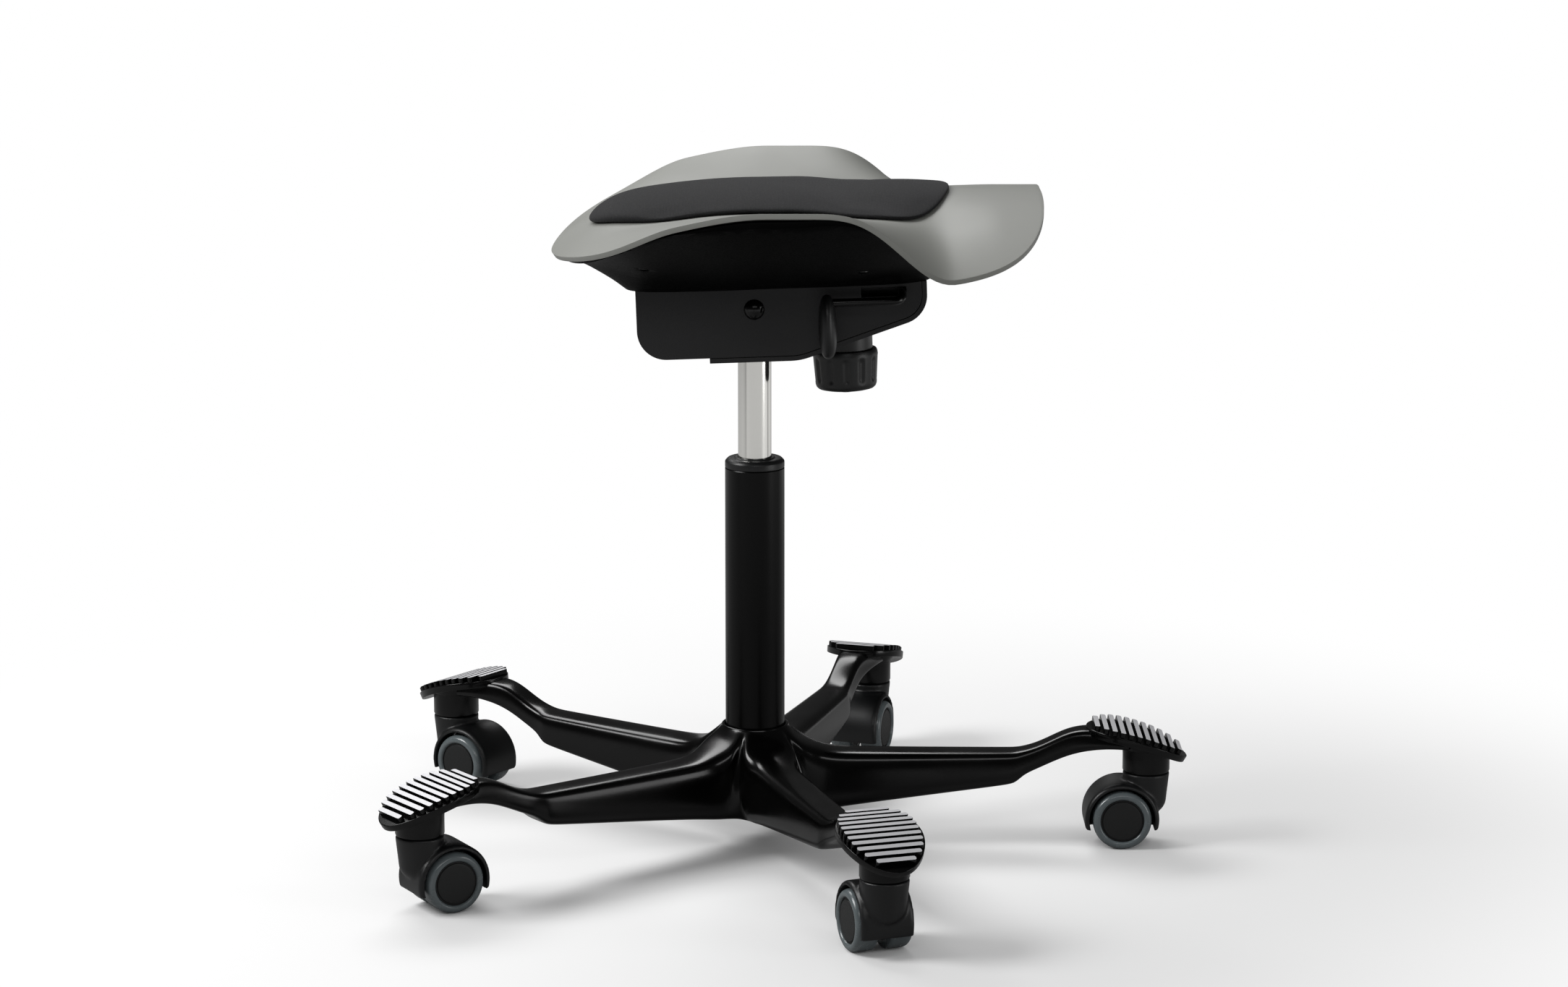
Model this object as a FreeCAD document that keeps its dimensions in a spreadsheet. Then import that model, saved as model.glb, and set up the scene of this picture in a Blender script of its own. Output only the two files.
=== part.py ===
import FreeCAD, Part
import math
import os
import Sketcher
from FreeCAD import Placement, Rotation, Vector

# Saddle stool on a five-legged caster base, in millimetres.
# Origin: on the floor under the column. +X is the front of the seat, +Z is up.

doc = FreeCAD.newDocument("saddle_stool")
sheet = doc.addObject("Spreadsheet::Sheet", "sizes")

SIZES = [
    # base casting
    ("caster_circle_radius", 332.4, "column axis to caster swivel axis"),
    ("socket_height", 64, "underside of the caster socket above the floor"),
    ("socket_diameter", 40, "caster socket, outside"),
    ("hub_top", 99, "top of the hub collar"),
    ("hub_bottom", 31, "underside of the hub"),
    ("hub_collar_diameter", 58, "hub collar, outside"),
    ("hub_skirt_diameter", 100, "hub at its widest, between the legs"),
    ("beam_half_width", 18.5, "leg beam, half its width at mid length"),
    ("beam_top", 82, "top of the leg beam"),
    ("beam_underside", 46, "underside of the leg beam at mid length"),
    ("beam_taper", 9, "rise of the underside from mid length to the hub or to the bend"),
    ("beam_end", 220, "reach of the straight beam from the column axis"),
    ("neck_half_width", 12.5, "gooseneck, half its width"),
    ("neck_depth", 21, "gooseneck, height of its section"),
    ("plate_crown_radius", 180, "arch of the foot plate, seen from the side"),
    ("plate_crown_reach", 273.4, "highest point of that arch from the column axis"),
    ("plate_crown_top", 103.5, "height of that point"),
    ("plate_thickness", 6, "foot plate"),
    ("plate_centre_reach", 324, "middle of the oval foot plate"),
    ("plate_half_length", 43, "oval foot plate, along the leg"),
    ("plate_half_width", 34, "oval foot plate, across the leg"),
    ("tread_margin", 3.5, "bare rim of the foot plate round its tread"),
    ("tread_sheet", 1.2, "sheet that carries the ridges"),
    ("ridge_height", 2.8, "foot ridges above that sheet"),
    ("ridge_width", 4, "one foot ridge"),
    ("ridge_pitch", 6.6, "one ridge to the next"),
    # column
    ("column_diameter", 50, "outer tube of the gas lift"),
    ("column_wall", 2, "wall of the outer tube"),
    ("column_top", 327, "top of the outer tube"),
    ("column_taper", 1, "radius lost in the hub taper"),
    ("cap_height", 9, "bevelled cap above the outer tube"),
    ("cap_bevel", 2.5, "bevel of the cap"),
    ("guide_length", 110, "guide sleeve inside the outer tube"),
    ("pressure_tube_diameter", 28, "chrome pressure tube"),
    ("pressure_tube_bottom", 130, "lower end of the pressure tube at rest"),
    ("pressure_tube_wall", 1.7, "wall of the pressure tube"),
    ("lift_taper", 1, "radius lost in the upper taper"),
    ("lift_taper_length", 35, "upper taper inside the tilt bracket"),
    ("rod_diameter", 10, "piston rod"),
    ("rod_top", 283, "underside of the piston"),
    ("piston_thickness", 12, "piston"),
    ("bearing_diameter", 30, "thrust bearing"),
    ("bearing_height", 6, "thrust bearing"),
    ("valve_diameter", 8, "valve button"),
    ("valve_stand", 7.5, "valve button above the pressure tube"),
    ("running_fit", 0.05, "radial clearance of parts that turn or slide"),
    # casters
    ("wheel_diameter", 50, "wheel over its tread"),
    ("tread_inner_diameter", 36.6, "wheel core, seat of the soft tread"),
    ("wheel_face", 24, "outer face of a tread from the middle of the caster"),
    ("wheel_inset", 4.2, "inner face of a wheel from the middle of the caster"),
    ("tread_rounding", 5, "shoulder of the soft tread"),
    ("caster_trail", 21, "swivel axis to wheel axle"),
    ("hood_radius", 31.7, "hood over the wheels, outside"),
    ("hood_wall", 4, "hood over the wheels"),
    ("hood_width", 45, "hood over the wheels"),
    ("hood_lip", 8.5, "hood ends this far under the axle"),
    ("hood_rounding", 4, "outer edges of the hood"),
    ("hood_web", 7, "web between the wheels"),
    ("axle_diameter", 6, "wheel axle"),
    ("stem_diameter", 11, "caster stem"),
    ("stem_in_leg", 18, "stem length in the leg"),
    ("stem_in_hood", 20, "stem length in the hood"),
    ("body_gap", 0.3, "clearance between pieces that move past each other"),
    # tilt mechanism, measured from the pivot axis
    ("pivot_height", 468, "pivot axis above the floor"),
    ("rest_tilt", 2, "seat at rest, front up, in degrees"),
    ("plate_outside", 48, "outer face of a side plate from the middle"),
    ("plate_sheet", 3, "side plate"),
    ("plate_rear", 97, "side plate behind the pivot"),
    ("plate_front", 138, "side plate before the pivot"),
    ("plate_low", 39.5, "side plate under the pivot"),
    ("plate_high", 19, "side plate over the pivot, to the under shell"),
    ("plate_slope_start", 36, "where the lower edge starts to rise"),
    ("plate_nose_low", 7, "lower edge under the pivot at the front"),
    ("plate_rear_rounding", 24, "rear lower corner"),
    ("plate_slope_rounding", 45, "bend in the lower edge"),
    ("plate_nose_rounding", 20, "front lower corner"),
    ("strip_thickness", 4, "bent bottom strip"),
    ("strip_rear", 38, "strip behind the pivot"),
    ("strip_opening", 50, "opening of the strip round the pressure tube, along the seat"),
    ("slot_start", 88, "lever slot before the pivot"),
    ("slot_length", 37, "lever slot"),
    ("slot_height", 7.6, "lever slot"),
    ("slot_over_pivot", 11, "middle of the lever slot over the pivot"),
    ("pin_diameter", 12, "pivot pin"),
    ("pin_head_diameter", 17, "domed head of the pivot pin"),
    ("pin_head_height", 4.5, "domed head of the pivot pin"),
    ("bush_wall", 1.5, "pivot bush"),
    ("bracket_boss_diameter", 42, "tilt bracket round the taper"),
    ("bracket_cheek", 6, "cheek of the tilt bracket"),
    ("bracket_cheek_length", 30, "cheek along the seat"),
    ("bracket_floor", 8, "plate that joins the cheeks"),
    ("bracket_arm_width", 30, "arm over the tension buffer"),
    ("bracket_arm_thickness", 6, "arm over the tension buffer"),
    ("cheek_clearance", 1, "cheek to side plate"),
    # height lever
    ("lever_diameter", 7, "lever rod"),
    ("lever_stand", 22, "lever rod before the side plate"),
    ("lever_drop", 4.4, "outer run of the lever under the slot"),
    ("lever_bend", 7, "bends of the lever rod"),
    ("lever_run", 57, "outer run of the lever"),
    ("paddle_height", 52, "lever paddle"),
    ("paddle_thickness", 14, "lever paddle"),
    ("paddle_width", 30, "lever paddle"),
    ("paddle_drop", 20, "middle of the paddle under the rod"),
    ("lever_travel", 28, "lever along its slot"),
    ("valve_travel", 4, "valve button pressed by the full travel"),
    ("valve_play", 0.8, "free play over the valve button"),
    ("slide_bar_width", 8, "bar of the release slide"),
    ("slide_bar_offset", 30, "bar from the middle of the seat"),
    ("wedge_thickness", 4, "release wedge at its thin end"),
    # tension adjuster
    ("knob_reach", 74, "knob axis before the pivot"),
    ("knob_diameter", 54, "knob at its top"),
    ("knob_low_diameter", 48, "knob at its foot"),
    ("knob_height", 33, "knob"),
    ("knob_top", 43, "top of the knob under the pivot"),
    ("knob_dome", 2.5, "dome under the knob"),
    ("knob_flutes", 12, "grip flutes of the knob"),
    ("flute_radius", 3.2, "grip flute"),
    ("collar_diameter", 46, "collar between strip and knob"),
    ("screw_diameter", 8, "tension screw"),
    ("nut_thickness", 3.5, "tension nut"),
    ("nut_width", 26, "tension nut"),
    ("nut_under_arm", 10, "room of the rubber buffer"),
    # seat
    ("seat_height", 551, "saddle shell in its middle"),
    ("crest_height", 562, "saddle shell along its front crest"),
    ("tail_drop", 40, "fall of the tail"),
    ("channel_depth", 6, "shallow channel for each thigh beside the crest"),
    ("haunch_drop", 5, "shallow hollow each side of the seat's rear"),
    ("side_rise", 20, "rise of the sides over the middle"),
    ("flank_fall", 47, "fall of the front flanks under the crest"),
    ("seat_rear", 169, "tail behind the column"),
    ("seat_front", 237, "front edge before the column"),
    ("seat_half_width", 222, "half the width of the seat"),
    ("shell_thickness", 6, "saddle shell"),
    ("pan_inset", 5, "under shell inside the edge of the saddle shell"),
    ("pan_wall", 3, "under shell"),
    ("pan_floor_rear", 107, "flat floor of the under shell behind the pivot"),
    ("pan_floor_front", 146, "flat floor of the under shell before the pivot"),
    ("pan_floor_half_width", 64, "flat floor of the under shell"),
    ("pad_rear", 138, "cushion behind the column"),
    ("pad_front", 161, "cushion before the column"),
    ("pad_rear_half_width", 94, "cushion at its rear"),
    ("pad_front_half_width", 114, "cushion at its front"),
    ("pad_crown", 12, "crown of the cushion over its edge"),
    ("pad_edge", 3, "cushion at its edge"),
    ("seat_screw_reach", 88, "seat screws before and behind the column"),
    ("seat_screw_offset", 108, "seat screws from the middle"),
    ("seat_screw_head", 9, "screw head"),
    ("seat_screw_shank", 4, "screw shank"),
    ("seat_gap", 0.15, "seam between the seat's shells"),
]

for row, (alias, value, note) in enumerate(SIZES, 1):
    sheet.set(f"A{row}", note)
    sheet.set(f"B{row}", str(value))
    sheet.setAlias(f"B{row}", alias)
doc.recompute()


class Size:
    """A size of the sheet, or a sum of such sizes: its value and its expression."""

    def __init__(self, value, text):
        self.value = float(value)
        self.text = text

    def join(self, other, sign, value):
        return Size(value, f"({self.text} {sign} {size(other).text})")

    def __add__(self, other):
        return self.join(other, "+", self.value + size(other).value)

    def __sub__(self, other):
        return self.join(other, "-", self.value - size(other).value)

    def __mul__(self, other):
        return self.join(other, "*", self.value * size(other).value)

    def __truediv__(self, other):
        return self.join(other, "/", self.value / size(other).value)

    def __neg__(self):
        return Size(-self.value, f"(0 - {self.text})")


def size(thing):
    """The sheet's size of that name, or a plain number as a size."""
    if isinstance(thing, Size):
        return thing
    if isinstance(thing, str):
        return Size(sheet.get(thing), f"sizes.{thing}")
    return Size(thing, str(thing))


def mm(thing):
    return size(thing).value


def bind(item, **properties):
    """Ties properties of an object to sizes of the sheet."""
    for name, value in properties.items():
        item.setExpression(name, size(value).text)
    return item


def place(item, x=0, y=0, z=0, turn=Rotation()):
    """Puts a primitive at a place given in sizes, turned about its own origin."""
    item.Placement = Placement(Vector(mm(x), mm(y), mm(z)), turn)
    for axis, value in (("x", x), ("y", y), ("z", z)):
        if isinstance(value, (Size, str)):
            item.setExpression(f"Placement.Base.{axis}", size(value).text)
    return item


ALONG_Y = Rotation(Vector(1, 0, 0), -90)
ALONG_X = Rotation(Vector(0, 1, 0), 90)
PIECES = []


def piece(item, label):
    """Marks a finished object as a sub-part of the stool."""
    item.Label = label
    PIECES.append(item)
    return item


def cylinder(name, radius, height, x=0, y=0, z=0, turn=Rotation()):
    item = bind(doc.addObject("Part::Cylinder", name), Radius=radius, Height=height)
    return place(item, x, y, z, turn)


def box(name, length, width, height, x=0, y=0, z=0):
    item = bind(doc.addObject("Part::Box", name), Length=length, Width=width, Height=height)
    return place(item, x, y, z)


def fuse(name, *items):
    item = doc.addObject("Part::MultiFuse", name)
    item.Shapes = list(items)
    return item


def cut(name, base, *tools):
    item = doc.addObject("Part::Cut", name)
    item.Base = base
    item.Tool = tools[0] if len(tools) == 1 else fuse(f"{name}_tools", *tools)
    return item


def sketch_on(body, role, name):
    sketch = body.newObject("Sketcher::SketchObject", name)
    plane = next(item for item in body.Origin.OriginFeatures if item.Role == role)
    sketch.AttachmentSupport = [(plane, "")]
    sketch.MapMode = "FlatFace"
    return sketch


def draw_polygon(sketch, corners):
    """A closed outline whose corners are held at sizes of the sheet."""
    first = sketch.GeometryCount
    spots = [Vector(mm(x), mm(y), 0) for x, y in corners]
    count = len(spots)
    for n, spot in enumerate(spots):
        sketch.addGeometry(Part.LineSegment(spot, spots[(n + 1) % count]), False)
    for n, (x, y) in enumerate(corners):
        before = first + (n - 1) % count
        sketch.addConstraint(Sketcher.Constraint("Coincident", before, 2, first + n, 1))
        for kind, value, axis in (("DistanceX", x, -2), ("DistanceY", y, -1)):
            if mm(value) == 0:
                sketch.addConstraint(Sketcher.Constraint("PointOnObject", first + n, 1, axis))
                continue
            rule = Sketcher.Constraint(kind, -1, 1, first + n, 1, mm(value))
            index = sketch.addConstraint(rule)
            sketch.setExpression(f"Constraints[{index}]", size(value).text)


def turned(name, corners):
    """A body turned about Z from a half profile of (radius, height) corners."""
    body = doc.addObject("PartDesign::Body", name)
    sketch = sketch_on(body, "XZ_Plane", f"{name}_profile")
    draw_polygon(sketch, corners)
    turn = body.newObject("PartDesign::Revolution", f"{name}_turn")
    turn.Profile = sketch
    turn.ReferenceAxis = (sketch, ["V_Axis"])
    turn.Angle = 360
    sketch.Visibility = False
    return body


def padded(name, corners, thickness):
    """A body of a flat outline in the XZ plane, padded evenly to both sides."""
    body = doc.addObject("PartDesign::Body", name)
    sketch = sketch_on(body, "XZ_Plane", f"{name}_outline")
    draw_polygon(sketch, corners)
    pad = body.newObject("PartDesign::Pad", f"{name}_pad")
    pad.Profile = sketch
    pad.SideType = "Symmetric"
    bind(pad, Length=thickness)
    return body


def pierced(body, name, corners):
    """A pocket right through a padded body, from an outline in the XZ plane."""
    sketch = sketch_on(body, "XZ_Plane", f"{name}_outline")
    draw_polygon(sketch, corners)
    pocket = body.newObject("PartDesign::Pocket", name)
    pocket.Profile = sketch
    pocket.SideType = "Symmetric"
    pocket.Type = "ThroughAll"
    return pocket


def rounded(body, name, radius, wanted):
    """A fillet on the edges of a body that the test picks."""
    doc.recompute()
    base = body.Tip
    names = [f"Edge{n}" for n, edge in enumerate(base.Shape.Edges, 1) if wanted(edge)]
    if not names:
        raise RuntimeError(f"no edge found for {name}")
    item = body.newObject("PartDesign::Fillet", name)
    item.Base = (base, names)
    bind(item, Radius=radius)
    doc.recompute()
    return item


def solid(name, shape):
    """A free-form piece whose shape is worked out from the sheet in code."""
    item = doc.addObject("Part::Feature", name)
    item.Shape = shape
    return item


def smooth(value, start, end):
    """An even S-curve from 0 at start to 1 at end."""
    share = min(1.0, max(0.0, (value - start) / (end - start)))
    return share * share * (3 - 2 * share)


def near_line(edge, x, z, slack=0.5):
    """True for an edge along Y that passes through (x, z)."""
    middle = edge.CenterOfMass
    flat = abs(edge.BoundBox.XLength) + abs(edge.BoundBox.ZLength) < slack
    return flat and math.hypot(middle.x - x, middle.z - z) < slack


# Base casting: hub, five legs with gooseneck ends, oval foot plates and caster sockets

LEGS = 5


def leg_section(reach, half_width, underside, top):
    """A rounded section across the leg, a little narrower towards its top."""
    squareness = 3.4
    narrowing = 0.16
    middle = (underside + top) / 2
    half = (top - underside) / 2
    spots = []
    for n in range(16):
        angle = 2 * math.pi * n / 16
        across = math.copysign(abs(math.cos(angle)) ** (2 / squareness), math.cos(angle))
        up = math.copysign(abs(math.sin(angle)) ** (2 / squareness), math.sin(angle))
        spots.append(Vector(reach, half_width * across * (1 - narrowing * up), middle + half * up))
    curve = Part.BSplineCurve()
    curve.interpolate(Points=spots, PeriodicFlag=True)
    return Part.Wire(curve.toShape())


def leg_loft(sections, straight):
    return Part.makeLoft([leg_section(*section) for section in sections], True, straight)


def leg_shape():
    """One leg along +X: flared root, straight tapered beam with a cut-off end, gooseneck."""
    wide = mm("beam_half_width")
    top = mm("beam_top")
    low = mm("beam_underside")
    taper = mm("beam_taper")
    end = mm("beam_end")
    neck = mm("neck_half_width")
    depth = mm("neck_depth")
    crown = mm("plate_crown_top") - 1
    crown_reach = mm("plate_crown_reach")
    rise = crown_reach - end
    root_end = (0.33 * end, wide + 2, low - taper, top + 0.5)
    root = leg_loft([
        (8, wide + 8, mm("hub_bottom"), mm("hub_top") - 3),
        (0.18 * end, wide + 4.5, mm("hub_bottom") + 1, top + 7),
        root_end,
    ], False)
    beam = leg_loft([
        root_end,
        (end, wide - 2, low + taper, top),
        (end + 0.28 * rise, neck + 1, low + taper + 13, top + 2),
    ], True)
    gooseneck = leg_loft([
        (end - 10, neck, top - depth, top - 1),
        (end + 0.1 * rise, neck + 0.4, top - depth + 1.5, top + 0.2),
        (end + 0.35 * rise, neck + 0.4, crown - depth - 18, top + 4),
        (end + 0.68 * rise, neck, crown - depth - 9, crown - 8),
        (crown_reach, neck + 0.5, crown - depth, crown - 0.5),
        (crown_reach + 22, neck + 2.5, crown - depth + 2, crown - 2),
        (mm("caster_circle_radius") - 8, neck + 2.5, crown - depth - 2, crown - 9),
    ], False)
    return root.fuse([beam, gooseneck])


def arched_band(inner, outer, half_width):
    """The stretch between two arches about the foot plate's crown axis."""
    reach = mm("plate_crown_reach")
    height = mm("plate_crown_top") - mm("plate_crown_radius")
    start = Vector(reach, -half_width, height)
    band = Part.makeCylinder(outer, 2 * half_width, start, Vector(0, 1, 0))
    return band.cut(Part.makeCylinder(inner, 2 * half_width, start, Vector(0, 1, 0)))


def oval_column(margin):
    """A tall prism over the oval outline of the foot plate, drawn in by a margin."""
    centre = Vector(mm("plate_centre_reach"), 0, mm("socket_height"))
    oval = Part.Ellipse(centre, mm("plate_half_length") - margin, mm("plate_half_width") - margin)
    return Part.Face(Part.Wire(oval.toShape())).extrude(Vector(0, 0, mm("socket_diameter") * 2))


def foot_plate_shape():
    arch = mm("plate_crown_radius")
    band = arched_band(arch - mm("plate_thickness"), arch, mm("plate_half_width") + 5)
    return band.common(oval_column(0))


def socket_shape():
    """The caster socket, from its open end up to the foot plate's top."""
    foot = Vector(mm("caster_circle_radius"), 0, mm("socket_height"))
    post = Part.makeCylinder(mm("socket_diameter") / 2, mm("hub_top") - mm("socket_height"), foot)
    arch = arched_band(1, mm("plate_crown_radius") - 1, mm("plate_half_width") + 5)
    return post.common(arch)


def stem_hole_shape():
    foot = Vector(mm("caster_circle_radius"), 0, mm("socket_height") - 1)
    return Part.makeCylinder(mm("stem_diameter") / 2, mm("stem_in_leg") + 1, foot)


def hub_bore_shape():
    bore = mm("column_diameter") / 2
    low = Vector(0, 0, mm("hub_bottom"))
    taper = Part.makeCone(bore - mm("column_taper"), bore, mm("hub_top") - mm("hub_bottom"), low)
    deep = Vector(0, 0, -mm("hub_bottom"))
    below = Part.makeCylinder(bore - mm("column_taper"), mm("hub_bottom"), low + deep)
    above = Part.makeCylinder(bore, mm("hub_top"), Vector(0, 0, mm("hub_top")))
    return taper.fuse([below, above])


def around(shape, count=LEGS):
    """Copies of a shape in an even ring about the column."""
    copies = []
    for n in range(count):
        copy = shape.copy()
        copy.rotate(Vector(0, 0, 0), Vector(0, 0, 1), 360 / count * n)
        copies.append(copy)
    return copies


hub = turned("hub", [
    (0, "hub_bottom"),
    (size("hub_skirt_diameter") / 2 - 6, "hub_bottom"),
    (size("hub_skirt_diameter") / 2, size("hub_bottom") + 8),
    (size("hub_skirt_diameter") / 2 - 3, "beam_underside"),
    (size("hub_collar_diameter") / 2 + 9, size("beam_top") - 8),
    (size("hub_collar_diameter") / 2 + 2, size("hub_top") - 7),
    (size("hub_collar_diameter") / 2, "hub_top"),
    (0, "hub_top"),
])
doc.recompute()
one_leg = leg_shape().fuse([foot_plate_shape(), socket_shape()])
casting = hub.Shape.fuse(around(one_leg))
casting = casting.cut([hub_bore_shape()] + around(stem_hole_shape()))
piece(solid("star_base", casting), "star_base")

# Foot treads: a thin arched sheet with cross ridges, laid on each foot plate


def foot_tread_shape():
    arch = mm("plate_crown_radius")
    sheet_top = arch + mm("tread_sheet")
    half_width = mm("plate_half_width")
    margin = mm("tread_margin")
    sheet_part = arched_band(arch, sheet_top, half_width).common(oval_column(margin))
    ridges = arched_band(arch, sheet_top + mm("ridge_height"), half_width)
    ridges = ridges.common(oval_column(margin))
    centre = Vector(mm("plate_crown_reach"), 0, mm("plate_crown_top") - arch)
    middle = math.degrees(math.asin((mm("plate_centre_reach") - centre.x) / arch))
    pitch = math.degrees(mm("ridge_pitch") / arch)
    count = int(2 * (mm("plate_half_length") - margin) / mm("ridge_pitch"))
    bars = []
    for n in range(count):
        bar = Part.makeBox(mm("ridge_width"), 2 * half_width, arch)
        bar.translate(centre + Vector(-mm("ridge_width") / 2, -half_width, arch / 2))
        bar.rotate(centre, Vector(0, 1, 0), middle + pitch * (n - (count - 1) / 2))
        bars.append(bar)
    return sheet_part.fuse([ridges.common(bar) for bar in bars]).removeSplitter()


treads = Part.makeCompound(around(foot_tread_shape()))
piece(solid("foot_treads", treads), "foot_treads")

# Column: outer tube in the hub taper, guide cap, thrust bearing, piston rod, pressure tube

tube_radius = size("column_diameter") / 2
tube_inside = tube_radius - "column_wall"
tube_foot = tube_radius - "column_taper"
tube_floor = size("hub_bottom") + 5
column_tube = turned("column_tube", [
    (size("rod_diameter") / 2 + 3, "hub_bottom"),
    (tube_foot, "hub_bottom"),
    (tube_radius, "hub_top"),
    (tube_radius, "column_top"),
    (tube_inside, "column_top"),
    (tube_inside, "hub_top"),
    (tube_foot - "column_wall", tube_floor),
    (size("rod_diameter") / 2 + 3, tube_floor),
])
piece(column_tube, "column_tube")

piston_radius = size("pressure_tube_diameter") / 2
guide_bore = piston_radius + "running_fit"
column_guide = turned("column_guide", [
    (guide_bore, size("column_top") - "guide_length"),
    (tube_inside, size("column_top") - "guide_length"),
    (tube_inside, "column_top"),
    (tube_radius, "column_top"),
    (tube_radius, size("column_top") + "cap_height" - "cap_bevel"),
    (tube_radius - "cap_bevel", size("column_top") + "cap_height"),
    (guide_bore, size("column_top") + "cap_height"),
])
piece(column_guide, "column_guide")

rod_radius = size("rod_diameter") / 2
bearing_top = tube_floor + "bearing_height"
thrust_bearing = turned("thrust_bearing", [
    (rod_radius + "running_fit", tube_floor),
    (size("bearing_diameter") / 2, tube_floor),
    (size("bearing_diameter") / 2, bearing_top - 0.02),
    (rod_radius + "running_fit", bearing_top - 0.02),
])
piece(thrust_bearing, "thrust_bearing")

rod_foot = size("hub_bottom") - 4
piston_rod = turned("piston_rod", [
    (0, rod_foot),
    (rod_radius, rod_foot),
    (rod_radius, bearing_top),
    (rod_radius + 4, bearing_top),
    (rod_radius + 4, bearing_top + 3),
    (rod_radius, bearing_top + 3),
    (rod_radius, "rod_top"),
    (piston_radius - "pressure_tube_wall" - 0.1, "rod_top"),
    (piston_radius - "pressure_tube_wall" - 0.1, size("rod_top") + "piston_thickness"),
    (0, size("rod_top") + "piston_thickness"),
])
piece(piston_rod, "piston_rod")

rod_clip = turned("rod_clip", [
    (rod_radius, size("hub_bottom") - 2.3),
    (rod_radius + 6, size("hub_bottom") - 2.3),
    (rod_radius + 6, size("hub_bottom") - "body_gap"),
    (rod_radius, size("hub_bottom") - "body_gap"),
])
piece(rod_clip, "rod_clip")

lift_top = size("pivot_height") + 0.5
lift_taper_start = lift_top - "lift_taper_length"
tube_bore = piston_radius - "pressure_tube_wall"
valve_bore = size("valve_diameter") / 2 + "running_fit"
lift_roof = lift_top - 12
pressure_tube = turned("pressure_tube", [
    (rod_radius + "running_fit", "pressure_tube_bottom"),
    (piston_radius, "pressure_tube_bottom"),
    (piston_radius, lift_taper_start),
    (piston_radius - "lift_taper", lift_top),
    (valve_bore, lift_top),
    (valve_bore, lift_roof),
    (tube_bore - "lift_taper", lift_roof),
    (tube_bore, lift_taper_start),
    (tube_bore, size("pressure_tube_bottom") + 10),
    (rod_radius + "running_fit", size("pressure_tube_bottom") + 10),
])
piece(pressure_tube, "pressure_tube")

valve_top = lift_top + "valve_stand"
valve_button = turned("valve_button", [
    (0, lift_roof + 2),
    (size("valve_diameter") / 2, lift_roof + 2),
    (size("valve_diameter") / 2, valve_top - 1),
    (size("valve_diameter") / 2 - 1, valve_top),
    (0, valve_top),
])
piece(valve_button, "valve_button")

# Casters: stem in the leg, hood that swivels on it, axle, twin wheels with soft treads

stem = Part.makeCylinder(
    mm("stem_diameter") / 2,
    mm("stem_in_leg") + mm("stem_in_hood"),
    Vector(mm("caster_circle_radius"), 0, mm("socket_height") - mm("stem_in_hood")),
)
piece(solid("caster_stems", Part.makeCompound(around(stem))), "caster_stems")

axle_height = size("wheel_diameter") / 2
CASTER_TRAILS = (180, 252, 323, 30, 110)


def caster_place(number):
    """Where a caster stands: its leg, and the way its wheels trail at rest."""
    leg = Rotation(Vector(0, 0, 1), 360 / LEGS * number)
    centre = leg.multVec(Vector(mm("caster_circle_radius"), 0, 0))
    return Placement(centre, Rotation(Vector(0, 0, 1), CASTER_TRAILS[number]))


def caster_hood(number):
    """Hood: tapered stem boss that rounds into a fender over both wheels."""
    name = f"hood_{number + 1}"
    top = size("socket_height") - "body_gap"
    neck = doc.addObject("Part::Cone", f"{name}_neck")
    bind(neck, Radius1=size("socket_diameter") / 2 - 2.5, Radius2=size("socket_diameter") / 2)
    bind(neck, Height=top - axle_height - 15)
    place(neck, 0, 0, axle_height + 15)
    bowl = doc.addObject("Part::Ellipsoid", f"{name}_bowl")
    bind(bowl, Radius1=15, Radius2=size("socket_diameter") / 2 - 2.5)
    bind(bowl, Radius3=size("socket_diameter") / 2 - 2.5)
    place(bowl, 0, 0, axle_height + 15)
    fender = cylinder(
        f"{name}_fender", "hood_radius", "hood_width",
        "caster_trail", -size("hood_width") / 2, axle_height, ALONG_Y,
    )
    doc.recompute()
    edges = [n for n, edge in enumerate(fender.Shape.Edges, 1) if len(edge.Vertexes) == 1]
    soft = doc.addObject("Part::Fillet", f"{name}_soft")
    soft.Base = fender
    soft.Edges = [(n, mm("hood_rounding"), mm("hood_rounding")) for n in edges]
    below = box(
        f"{name}_below", size("hood_radius") * 2 + 2, size("hood_width") + 2, "hood_radius",
        size("caster_trail") - "hood_radius" - 1, -size("hood_width") / 2 - 1,
        axle_height - "hood_lip" - "hood_radius",
    )
    wells = [
        cylinder(
            f"{name}_well_{side}", size("hood_radius") - "hood_wall", "hood_width",
            "caster_trail", start, axle_height, ALONG_Y,
        )
        for side, start in (
            ("far", size("hood_web") / 2),
            ("near", -size("hood_web") / 2 - "hood_width"),
        )
    ]
    bore = cylinder(
        f"{name}_bore", size("stem_diameter") / 2 + "running_fit",
        size("stem_in_hood") + "body_gap",
        0, 0, size("socket_height") - "stem_in_hood" - "body_gap",
    )
    pin = cylinder(
        f"{name}_pin", size("axle_diameter") / 2, "hood_width",
        "caster_trail", -size("hood_width") / 2, axle_height, ALONG_Y,
    )
    hood = cut(name, fuse(f"{name}_mass", neck, bowl, soft), below, bore, pin, *wells)
    hood.Placement = caster_place(number)
    return piece(hood, f"caster_hood_{number + 1}")


def caster_axle(number):
    length = (size("wheel_face") - 3.5) * 2
    axle = cylinder(f"axle_{number + 1}", size("axle_diameter") / 2, length)
    middle = Vector(mm("caster_trail"), -mm(length) / 2, mm(axle_height))
    axle.Placement = caster_place(number).multiply(Placement(middle, ALONG_Y))
    return piece(axle, f"caster_axle_{number + 1}")


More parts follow.
